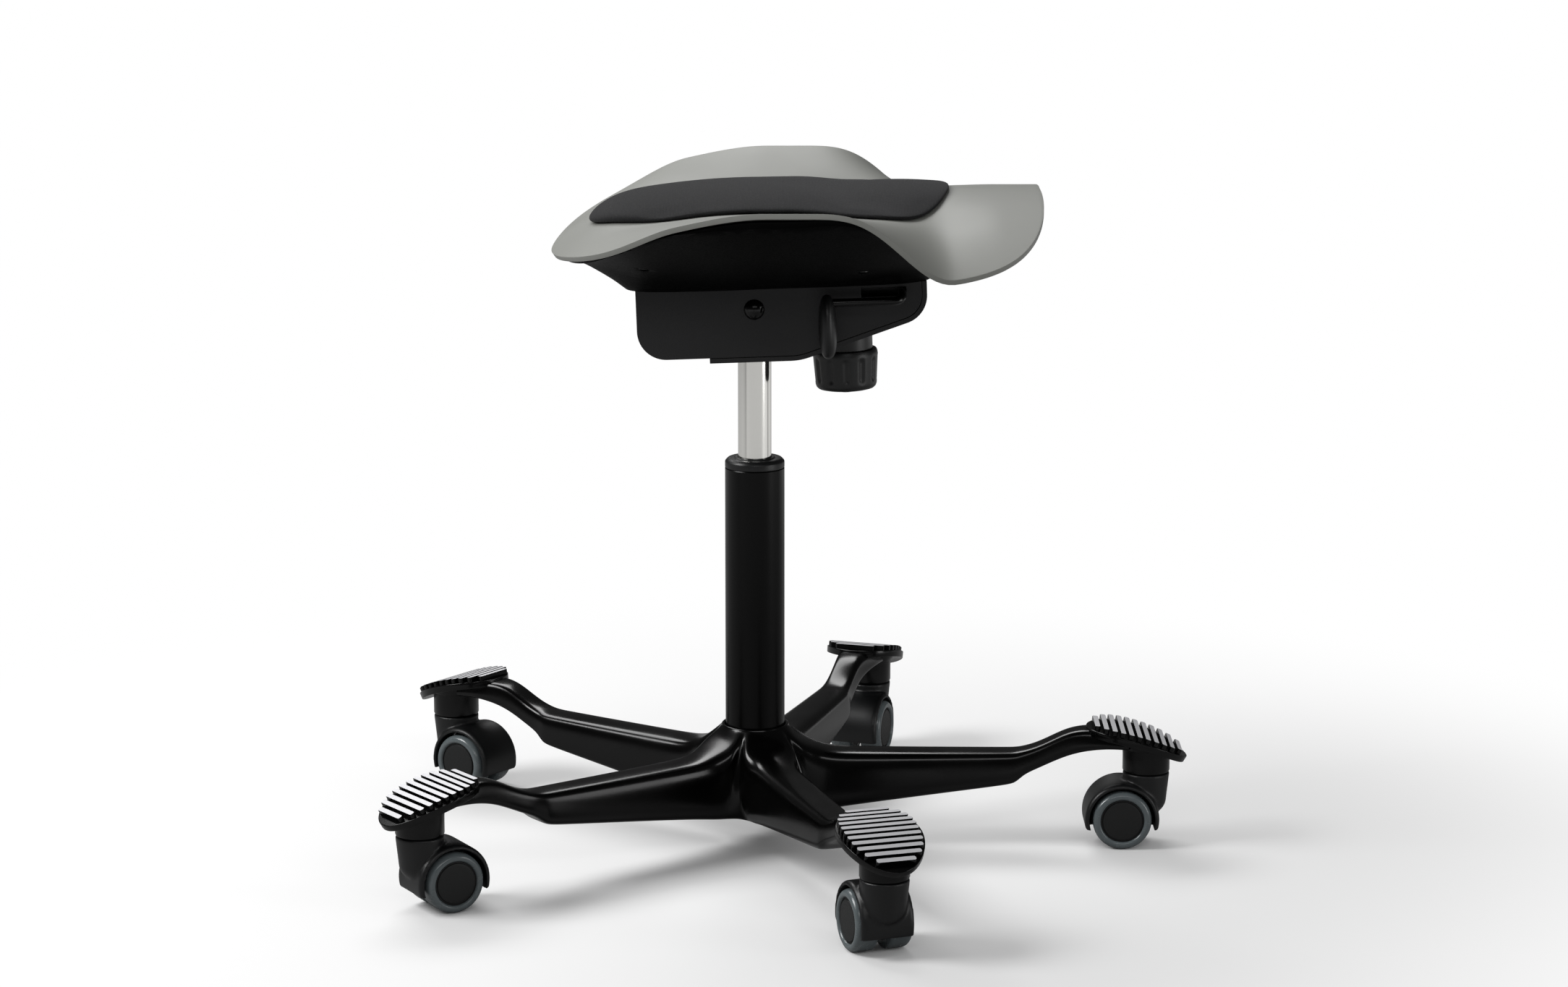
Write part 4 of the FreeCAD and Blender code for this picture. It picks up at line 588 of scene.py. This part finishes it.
tread = turned_piece("tread", [
    (0.0183, 0.0048), (0.0222, 0.0048), (0.0240, 0.0054), (0.0248, 0.0066), (0.0250, 0.0082),
    (0.0250, 0.0188), (0.0249, 0.0200), (0.0246, 0.0212), (0.0240, 0.0224), (0.0231, 0.0234),
    (0.0220, 0.02395), (0.0208, 0.0241), (0.0198, 0.0240), (0.0191, 0.0236), (0.0187, 0.0230),
    (0.0183, 0.0222)], soft_tread, 72, closed=True)
core = turned_piece("core", [
    (0.00305, 0.0042), (0.0070, 0.0042), (0.0070, 0.0052), (0.0183, 0.0052), (0.0183, 0.0221),
    (0.0181, 0.0225), (0.0178, 0.0225), (0.0176, 0.0219), (0.0170, 0.0219), (0.0168, 0.0224),
    (0.0165, 0.0228), (0.0158, 0.0230), (0.0140, 0.02305), (0.0060, 0.0231), (0.0012, 0.02312),
    (0.0002, 0.02312)], disc_plastic, 72)


def cad_copy(node, name):
    """A merged copy of a CAD node's mesh as a new piece."""
    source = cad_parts[node]
    piece = bpy.data.objects.new(name, source.data.copy())
    piece.data.transform(source.matrix_world)
    piece.data.materials.clear()
    scene.collection.objects.link(piece)
    bpy.ops.object.select_all(action="DESELECT")
    piece.select_set(True)
    bpy.context.view_layer.objects.active = piece
    bpy.ops.object.mode_set(mode="EDIT")
    bpy.ops.mesh.select_all(action="SELECT")
    bpy.ops.mesh.remove_doubles(threshold=0.000005)
    bpy.ops.object.mode_set(mode="OBJECT")
    return piece


for n, trail in enumerate(TRAILS):
    number = n + 1
    leg = math.radians(360 / LEGS * n)
    foot = Vector((CASTER_CIRCLE * math.cos(leg), CASTER_CIRCLE * math.sin(leg), 0))
    stand = Matrix.Translation(foot) @ Matrix.Rotation(math.radians(trail), 4, "Z")
    hub = stand @ Matrix.Translation((TRAIL, 0, AXLE_Z))
    hood = cad_copy(f"caster_hood_{number}", f"hood_{number}")
    apply_modifier(hood, "flow", "REMESH", mode="VOXEL", voxel_size=0.0011)
    apply_modifier(hood, "soften", "SMOOTH", factor=0.5, iterations=8)
    hood.data.materials.append(moulded_black)
    bpy.ops.object.shade_smooth()
    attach(hood, f"caster_{number}")
    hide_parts(f"caster_hood_{number}")
    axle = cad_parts[f"caster_axle_{number}"]
    axle.data.materials.clear()
    axle.data.materials.append(steel)
    for side, turn in (("near", 90), ("far", -90)):
        spin = hub @ Matrix.Rotation(math.radians(turn), 4, "X")
        ring = moved_copy(tread, f"tread_{number}_{side}", spin)
        disc = moved_copy(core, f"core_{number}_{side}", spin)
        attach(ring, f"wheel_{number}_{side}")
        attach(disc, f"wheel_{number}_{side}")
        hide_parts(f"caster_tread_{number}_{side}")
        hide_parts(f"caster_wheel_{number}_{side}")
bpy.data.objects.remove(tread)
bpy.data.objects.remove(core)

# Turned steel inside: caster stems, thrust bearing, piston rod and clip, valve button, tension screw
# and nut. They are left bright and are hidden in the pieces round them.
for node in ("caster_stems", "thrust_bearing", "piston_rod", "rod_clip", "valve_button",
             "tension_screw", "tension_nut"):
    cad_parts[node].data.materials.clear()
    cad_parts[node].data.materials.append(steel)

# Tilt mechanism: folded steel side plates and a bent bottom strip, welded into a box and powder
# coated in fine-textured black. It rocks on two domed pins in the bracket on the gas lift.
powder = bpy.data.materials.new("fine_black_powder_coat")
powder.use_nodes = True
tree = powder.node_tree
tree.nodes.clear()
# Powder coat: black, silky, with a fine texture about 1 mm wide.
place = add_node(tree, "ShaderNodeTexCoord")
texture = add_node(tree, "ShaderNodeTexNoise", None, {"Vector": place.outputs["Object"]},
                   {"Scale": 1000.0, "Detail": 3.0})
cloud = add_node(tree, "ShaderNodeTexNoise", None, {"Vector": place.outputs["Object"]},
                 {"Scale": 14.0, "Detail": 3.0})
rough = add_node(tree, "ShaderNodeMapRange", None, {"Value": cloud.outputs["Fac"]},
                 {"From Min": 0.3, "From Max": 0.7, "To Min": 0.44, "To Max": 0.54})
bump = add_node(tree, "ShaderNodeBump", None, {"Height": texture.outputs["Fac"]},
                {"Strength": 0.2, "Distance": 0.0003})
coat = add_node(tree, "ShaderNodeBsdfPrincipled", None, {
    "Roughness": rough.outputs[0], "Normal": bump.outputs[0]}, {"Base Color": linear("232324"), "IOR": 1.4})
add_node(tree, "ShaderNodeOutputMaterial", None, {"Surface": coat.outputs[0]})


def softened(node, name, material, width, body):
    """A CAD node's own shape with small rounded edges."""
    piece = cad_copy(node, name)
    bpy.ops.object.mode_set(mode="EDIT")
    bpy.ops.mesh.select_all(action="SELECT")
    bpy.ops.mesh.dissolve_limited(angle_limit=math.radians(0.6))
    bpy.ops.object.mode_set(mode="OBJECT")
    apply_modifier(piece, "edge", "BEVEL", width=width, segments=2, limit_method="ANGLE",
                   angle_limit=math.radians(40))
    piece.data.materials.append(material)
    bpy.ops.object.shade_smooth_by_angle(angle=math.radians(50))
    apply_modifier(piece, "flat", "WEIGHTED_NORMAL", weight=100, keep_sharp=True)
    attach(piece, body)
    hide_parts(node)
    return piece


softened("side_plate_near", "plate_near", powder, 0.0005, "seat")
softened("side_plate_far", "plate_far", powder, 0.0005, "seat")
softened("bottom_strip", "strip", powder, 0.0006, "seat")
softened("tilt_bracket", "bracket", powder, 0.0006, "lift")
softened("release_slide", "slide_bar", moulded_black, 0.0005, "height_lever")
softened("knob_collar", "collar", moulded_black, 0.0006, "seat")
for node, material in (("pivot_pins", enamel), ("pivot_bushes", moulded_black)):
    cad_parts[node].data.materials.clear()
    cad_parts[node].data.materials.append(material)

# Height lever: a bent steel rod, coated black, that slides in the slot of the near side plate. A moulded
# oval paddle is pressed on its end.
TILT = math.radians(-2)
PIVOT_Z = 0.468
PADDLE = (0.0076, 0.0150, 0.0265)
lean = Matrix.Translation((0, 0, PIVOT_Z)) @ Matrix.Rotation(TILT, 4, "Y")
bpy.ops.object.select_all(action="DESELECT")
bpy.ops.mesh.primitive_uv_sphere_add(segments=48, ring_count=32, radius=1, location=(0, 0, 0))
paddle = bpy.context.object
paddle.name = "oval_paddle"
bpy.ops.object.mode_set(mode="EDIT")
bpy.ops.mesh.select_all(action="SELECT")
bpy.ops.transform.resize(value=PADDLE, center_override=(0, 0, 0))
bpy.ops.object.mode_set(mode="OBJECT")
for v in paddle.data.vertices:
    rise = v.co.z / PADDLE[2]
    v.co.x *= (1 - 0.04 * rise) * (1.03 - rise ** 2) ** -0.18
paddle.data.transform(lean @ Matrix.Translation((0.0598, -0.0700, -0.0128)))
paddle.data.materials.append(moulded_black)
bpy.ops.object.shade_smooth()
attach(paddle, "height_lever")
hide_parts("lever_paddle")
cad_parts["lever_rod"].data.materials.clear()
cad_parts["lever_rod"].data.materials.append(enamel)

# Tension knob: a moulded black grip with shallow flutes and a boss under it, pressed on the foot of the
# tension screw. It is turned from one profile and its flutes are sunk into the side.
KNOB_REACH = 0.074
KNOB_FLUTES = 12
FLUTE_DEPTH = 0.055
grip = [(0.0272 - 0.0015 * n / 18, -0.0476 - 0.0226 * n / 18) for n in range(19)]
knob = turned_piece("knob", [(0.0045, -0.0430), (0.0260, -0.0430), (0.0268, -0.0446)] + grip + [
    (0.0255, -0.0722), (0.0247, -0.0742), (0.0232, -0.0756), (0.0205, -0.0763), (0.0112, -0.0767),
    (0.0104, -0.0772), (0.0092, -0.0784), (0.0060, -0.0791), (0.0004, -0.0793)], moulded_black, 144)
for v in knob.data.vertices:
    flute = math.atan2(v.co.y, v.co.x) * KNOB_FLUTES / (2 * math.pi)
    across = max(0.0, 1 - ((flute - round(flute)) / 0.2) ** 2)
    along = max(0.0, min(1.0, (-0.0480 - v.co.z) / 0.003, (v.co.z + 0.0700) / 0.003))
    if math.hypot(v.co.x, v.co.y) > 0.024:
        v.co.x *= 1 - FLUTE_DEPTH * across * along
        v.co.y *= 1 - FLUTE_DEPTH * across * along
knob.data.transform(lean @ Matrix.Translation((KNOB_REACH, 0, 0)))
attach(knob, "knob")
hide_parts("tension_knob")

# Tension buffer: a rubber ring on the tension nut that the seat squeezes against the bracket's arm.
# It is drawn slack, with room for the nut's climb, as the real ring flattens when the seat tilts.
BUFFER_SLACK = 0.48
buffer = cad_copy("tension_buffer", "rubber_buffer")
buffer.data.materials.append(moulded_black)
nut_top = min(v.co.z for v in buffer.data.vertices)
for v in buffer.data.vertices:
    v.co.z = nut_top + BUFFER_SLACK * (v.co.z - nut_top)
bpy.ops.object.shade_smooth_by_angle(angle=math.radians(35))
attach(buffer, "nut")
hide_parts("tension_buffer")
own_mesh(buffer)

# Under shell: a deep black polypropylene moulding that closes the seat from below. The mechanism is bolted
# to its floor, and four black screws in its flanks hold the saddle shell.
shell_black = bpy.data.materials.new("matte_black_moulding")
shell_black.use_nodes = True
tree = shell_black.node_tree
tree.nodes.clear()
# Textured polypropylene: flat black with a leather-like grain about 1.5 mm wide.
place = add_node(tree, "ShaderNodeTexCoord")
grain = add_node(tree, "ShaderNodeTexVoronoi", None, {"Vector": place.outputs["Object"]}, {"Scale": 700.0})
bump = add_node(tree, "ShaderNodeBump", None, {"Height": grain.outputs["Distance"]},
                {"Strength": 0.2, "Distance": 0.0003})
rough = add_node(tree, "ShaderNodeMapRange", None, {"Value": grain.outputs["Distance"]},
                 {"From Min": 0.0, "From Max": 0.8, "To Min": 0.5, "To Max": 0.62})
black = add_node(tree, "ShaderNodeBsdfPrincipled", None, {
    "Roughness": rough.outputs[0], "Normal": bump.outputs[0]}, {"Base Color": linear("010101"), "IOR": 1.15})
add_node(tree, "ShaderNodeOutputMaterial", None, {"Surface": black.outputs[0]})


SEAT_HALF = 222


def s_curve(value, start, end):
    """A smooth step from 0 to 1 between two values."""
    share = min(1.0, max(0.0, (value - start) / (end - start)))
    return share * share * (3 - 2 * share)


def saddle_height(x, y):
    """Height of the saddle over the floor at a place in plan, all in millimetres."""
    tail = max(0.0, (-59.15 - x) / 111.54)
    crest = 11 * s_curve(x, 20, 170) * (1 - (y / SEAT_HALF) ** 2)
    middle = 551 + crest - 40 * tail ** 2.2
    rise = 20 * s_curve(x, -125, 10)
    fall = 58 * s_curve(x, 40, 159) ** 2
    sink = 12 * (1 - s_curve(x, -150, -60))
    power = 2.5 - 0.7 * s_curve(x, 75, 155)
    channel = 6 * s_curve(x, 30, 95) * (1 - s_curve(x, 135, 200))
    middle -= channel * math.exp(-((abs(y) - 105) / 48) ** 2)
    middle -= 5 * math.exp(-((x + 80) / 38) ** 2 - ((abs(y) - 95) / 42) ** 2)
    return middle + (rise - fall - sink) * (abs(y) / SEAT_HALF) ** power


# The rear edge is drawn in along the saddle, so that it stays behind the shell's rim.
UNDER_TRIM = 6.5
under = cad_copy("under_shell", "black_under_shell")
for v in under.data.vertices:
    x, y = v.co.x * 1000, v.co.y * 1000
    inward = x + UNDER_TRIM * s_curve(-x, 122, 165)
    v.co.x = inward / 1000
    v.co.z += (saddle_height(inward, y) - saddle_height(x, y)) / 1000
under.data.materials.append(shell_black)
bpy.ops.object.shade_smooth_by_angle(angle=math.radians(35))
apply_modifier(under, "flat", "WEIGHTED_NORMAL", weight=90, keep_sharp=True)
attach(under, "seat")
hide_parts("under_shell")
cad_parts["seat_screws"].data.materials.clear()
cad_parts["seat_screws"].data.materials.append(enamel)

# Saddle shell: one warm grey polypropylene moulding, dished at the sides and arched at the front, with a
# rounded rim. It is screwed on the under shell and carries the cushion.
SHELL_WALL = 0.0043
SHELL_GRID = 96

warm_grey = bpy.data.materials.new("warm_grey_polypropylene")
warm_grey.use_nodes = True
tree = warm_grey.node_tree
tree.nodes.clear()
# Moulded polypropylene: warm grey, satin, with a fine spark-eroded grain about 1 mm wide.
place = add_node(tree, "ShaderNodeTexCoord")
grain = add_node(tree, "ShaderNodeTexNoise", None, {"Vector": place.outputs["Object"]},
                 {"Scale": 1000.0, "Detail": 3.0})
cloud = add_node(tree, "ShaderNodeTexNoise", None, {"Vector": place.outputs["Object"]},
                 {"Scale": 9.0, "Detail": 4.0})
bump = add_node(tree, "ShaderNodeBump", None, {"Height": grain.outputs["Fac"]},
                {"Strength": 0.12, "Distance": 0.0003})
rough = add_node(tree, "ShaderNodeMapRange", None, {"Value": cloud.outputs["Fac"]},
                 {"From Min": 0.3, "From Max": 0.7, "To Min": 0.46, "To Max": 0.54})
tint = add_node(tree, "ShaderNodeMix", {"data_type": "RGBA"}, {"Factor": cloud.outputs["Fac"]},
                {"A": linear("868782"), "B": linear("8A8B86")})
grey = add_node(tree, "ShaderNodeBsdfPrincipled", None, {
    "Roughness": rough.outputs[0], "Normal": bump.outputs[0], "Base Color": tint.outputs["Result"]})
add_node(tree, "ShaderNodeOutputMaterial", None, {"Surface": grey.outputs[0]})


def bezier(a, b, c, d, t):
    """A point of a cubic curve from a to d."""
    s = 1 - t
    return tuple(s ** 3 * p + 3 * s * s * t * q + 3 * s * t * t * r + t ** 3 * u
                 for p, q, r, u in zip(a, b, c, d))


# Half of the seat's outline from the rear to the front: a rounded rear, a straight flank, a full front.
SEAT_PLAN = [bezier((-169, 0), (-169, 79.9), (-140.3, SEAT_HALF), (-60.8, SEAT_HALF), n / 40)
             for n in range(41)]
SEAT_PLAN += [(-60.8 + 120.05 * n / 12, SEAT_HALF) for n in range(1, 12)]
SEAT_PLAN += [bezier((59.25, SEAT_HALF), (189.6, 218.7), (242.9, 213.1), (237, 0), n / 48)
              for n in range(49)]
PLAN_CENTRE = 25.0


def reach_table(plan):
    """Direction and distance of an outline's points from the middle of the seat, in order."""
    table = []
    for x, y in plan:
        table.append((math.atan2(y, x - PLAN_CENTRE), math.hypot(x - PLAN_CENTRE, y)))
    return sorted(table)


def reach_at(table, direction):
    """Distance from the middle of the seat to the outline, in a direction."""
    direction = min(max(abs(direction), table[0][0]), table[-1][0])
    for (a, ra), (b, rb) in zip(table, table[1:]):
        if a <= direction <= b:
            return ra + (rb - ra) * (direction - a) / max(1e-9, b - a)
    return table[-1][1]


def disc_grid(steps, table, height, shrink=0.0):
    """Points and faces of a disc drawn as an even grid and stretched to an outline."""
    points = []
    faces = []
    for i in range(steps + 1):
        for j in range(steps + 1):
            u = 2 * i / steps - 1
            v = 2 * j / steps - 1
            disc_x = u * math.sqrt(1 - v * v / 2)
            disc_y = v * math.sqrt(1 - u * u / 2)
            radius = math.hypot(disc_x, disc_y)
            direction = math.atan2(disc_y, disc_x)
            reach = (reach_at(table, direction) - shrink) * radius
            x = PLAN_CENTRE + reach * math.cos(direction)
            y = reach * math.sin(direction)
            points.append(Vector((x, y, height(x, y))) / 1000)
    for i in range(steps):
        for j in range(steps):
            a = i * (steps + 1) + j
            faces.append((a, a + steps + 1, a + steps + 2, a + 1))
    return points, faces


shell_points, shell_faces = disc_grid(SHELL_GRID, reach_table(SEAT_PLAN), saddle_height, 0.5)
shell = mesh_piece("grey_saddle_shell", shell_points, shell_faces, warm_grey)
apply_modifier(shell, "even", "SMOOTH", factor=0.4, iterations=2)
apply_modifier(shell, "wall", "SOLIDIFY", thickness=SHELL_WALL, offset=-1, use_even_offset=True)
apply_modifier(shell, "rim", "BEVEL", width=0.0020, segments=5, limit_method="ANGLE",
               angle_limit=math.radians(50))
bpy.ops.object.shade_smooth()
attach(shell, "seat")
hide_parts("saddle_shell")

# Cushion: a foam pad covered in black knitted fabric, glued into the saddle. It is thin at its
# edge, crowned along the middle and blown up a little by the foam.
PAD_EDGE = 3.2
PAD_CROWN = 11.0
PAD_GRID = 64
FOAM_PRESSURE = 4.0
FOAM_FRAMES = 20
FOAM_SWELL = 0.0018

fabric = bpy.data.materials.new("black_knitted_fabric")
fabric.use_nodes = True
tree = fabric.node_tree
tree.nodes.clear()
# Fine wool knit: charcoal black, matte, with a two-way weave drawn about 1.3 mm wide so that it shows.
place = add_node(tree, "ShaderNodeTexCoord")
warp = add_node(tree, "ShaderNodeTexWave", {"bands_direction": "X"}, {"Vector": place.outputs["Object"]},
                {"Scale": 250.0, "Distortion": 1.2, "Detail": 2.0, "Detail Scale": 2.0})
weft = add_node(tree, "ShaderNodeTexWave", {"bands_direction": "Y"}, {"Vector": place.outputs["Object"]},
                {"Scale": 250.0, "Distortion": 1.2, "Detail": 2.0, "Detail Scale": 2.0})
weave = add_node(tree, "ShaderNodeMath", {"operation": "MULTIPLY"}, {
    0: warp.outputs["Fac"], 1: weft.outputs["Fac"]})
fuzz = add_node(tree, "ShaderNodeTexNoise", None, {"Vector": place.outputs["Object"]},
                {"Scale": 600.0, "Detail": 4.0})
blend = add_node(tree, "ShaderNodeMath", {"operation": "MULTIPLY_ADD"}, {
    0: fuzz.outputs["Fac"], 2: weave.outputs[0]}, {1: 0.8})
tint = add_node(tree, "ShaderNodeMix", {"data_type": "RGBA"}, {"Factor": blend.outputs[0]},
                {"A": linear("0A0A0B"), "B": linear("1B1B1C")})
bump = add_node(tree, "ShaderNodeBump", None, {"Height": blend.outputs[0]},
                {"Strength": 0.45, "Distance": 0.0004})
rough = add_node(tree, "ShaderNodeMapRange", None, {"Value": fuzz.outputs["Fac"]},
                 {"From Min": 0.3, "From Max": 0.7, "To Min": 0.82, "To Max": 0.95})
cloth = add_node(tree, "ShaderNodeBsdfPrincipled", None, {
    "Base Color": tint.outputs["Result"], "Roughness": rough.outputs[0], "Normal": bump.outputs[0]},
    {"Sheen Weight": 0.1, "Sheen Roughness": 0.5, "Sheen Tint": linear("B0B0B4"),
     "Specular IOR Level": 0.25})
add_node(tree, "ShaderNodeOutputMaterial", None, {"Surface": cloth.outputs[0]})

PAD_PLAN = ((-142, 0), (-139, 26), (-129, 52), (-110, 76), (-82, 92), (-45, 97), (0, 98), (32, 99), (62, 103),
            (86, 109), (103, 112), (119, 108), (135, 95), (150, 71), (160, 40), (165, 0))
pad_table = reach_table(PAD_PLAN)


def pad_top(x, y):
    """Height of the cushion's top: crowned over the middle and falling to a thin edge."""
    share = math.hypot(x - PLAN_CENTRE, y) / reach_at(pad_table, math.atan2(y, x - PLAN_CENTRE))
    front = s_curve(x, 60, 140)
    crown = PAD_CROWN * (1 - 0.7 * s_curve(x, 30, 85)) * max(0.0, 1 - share ** 2.6)
    lip = PAD_EDGE * (1 + 0.3 * front + 1.4 * (1 - s_curve(x, -125, -70)))
    return saddle_height(x, y) + lip + crown


top_points, top_faces = disc_grid(PAD_GRID, pad_table, pad_top, 1.5)
base_points, base_faces = disc_grid(PAD_GRID, pad_table, lambda x, y: saddle_height(x, y) + 0.6, 1.5)
count = len(top_points)
steps = PAD_GRID + 1
rim = [j for j in range(steps)] + [i * steps + steps - 1 for i in range(1, steps)]
rim += [(steps - 1) * steps + j for j in range(steps - 2, -1, -1)]
rim += [i * steps for i in range(steps - 2, 0, -1)]
wall_faces = [(a, b, b + count, a + count) for a, b in zip(rim, rim[1:] + rim[:1])]
pad = mesh_piece("seat_pad", top_points + base_points,
                 top_faces + [tuple(i + count for i in face) for face in base_faces] + wall_faces, fabric)
apply_modifier(pad, "round", "SMOOTH", factor=0.5, iterations=4)
rest = [v.co.copy() for v in pad.data.vertices]
under = pad.vertex_groups.new(name="glued")
for v in pad.data.vertices:
    low = v.co.z * 1000 - saddle_height(v.co.x * 1000, v.co.y * 1000)
    if low < 1.6:
        under.add([v.index], 1.0, "REPLACE")
blow = pad.modifiers.new("foam", "CLOTH")
blow.settings.use_pressure = True
blow.settings.uniform_pressure_force = FOAM_PRESSURE
blow.settings.effector_weights.gravity = 0.0
blow.settings.vertex_group_mass = "glued"
blow.settings.tension_stiffness = 30
blow.settings.compression_stiffness = 30
blow.settings.bending_stiffness = 2
for frame_number in range(1, FOAM_FRAMES + 1):
    scene.frame_set(frame_number)
bpy.ops.object.select_all(action="DESELECT")
pad.select_set(True)
bpy.context.view_layer.objects.active = pad
bpy.ops.object.modifier_apply(modifier="foam")
scene.frame_set(1)
for v, start in zip(pad.data.vertices, rest):
    move = v.co - start
    if move.length > FOAM_SWELL:
        v.co = start + move * (FOAM_SWELL / move.length)
apply_modifier(pad, "settle", "SMOOTH", factor=0.5, iterations=10)
apply_modifier(pad, "fine", "SUBSURF", levels=1, render_levels=1)
pad.data.materials.clear()
pad.data.materials.append(fabric)
bpy.ops.object.shade_smooth()
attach(pad, "seat")
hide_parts("seat_cushion")
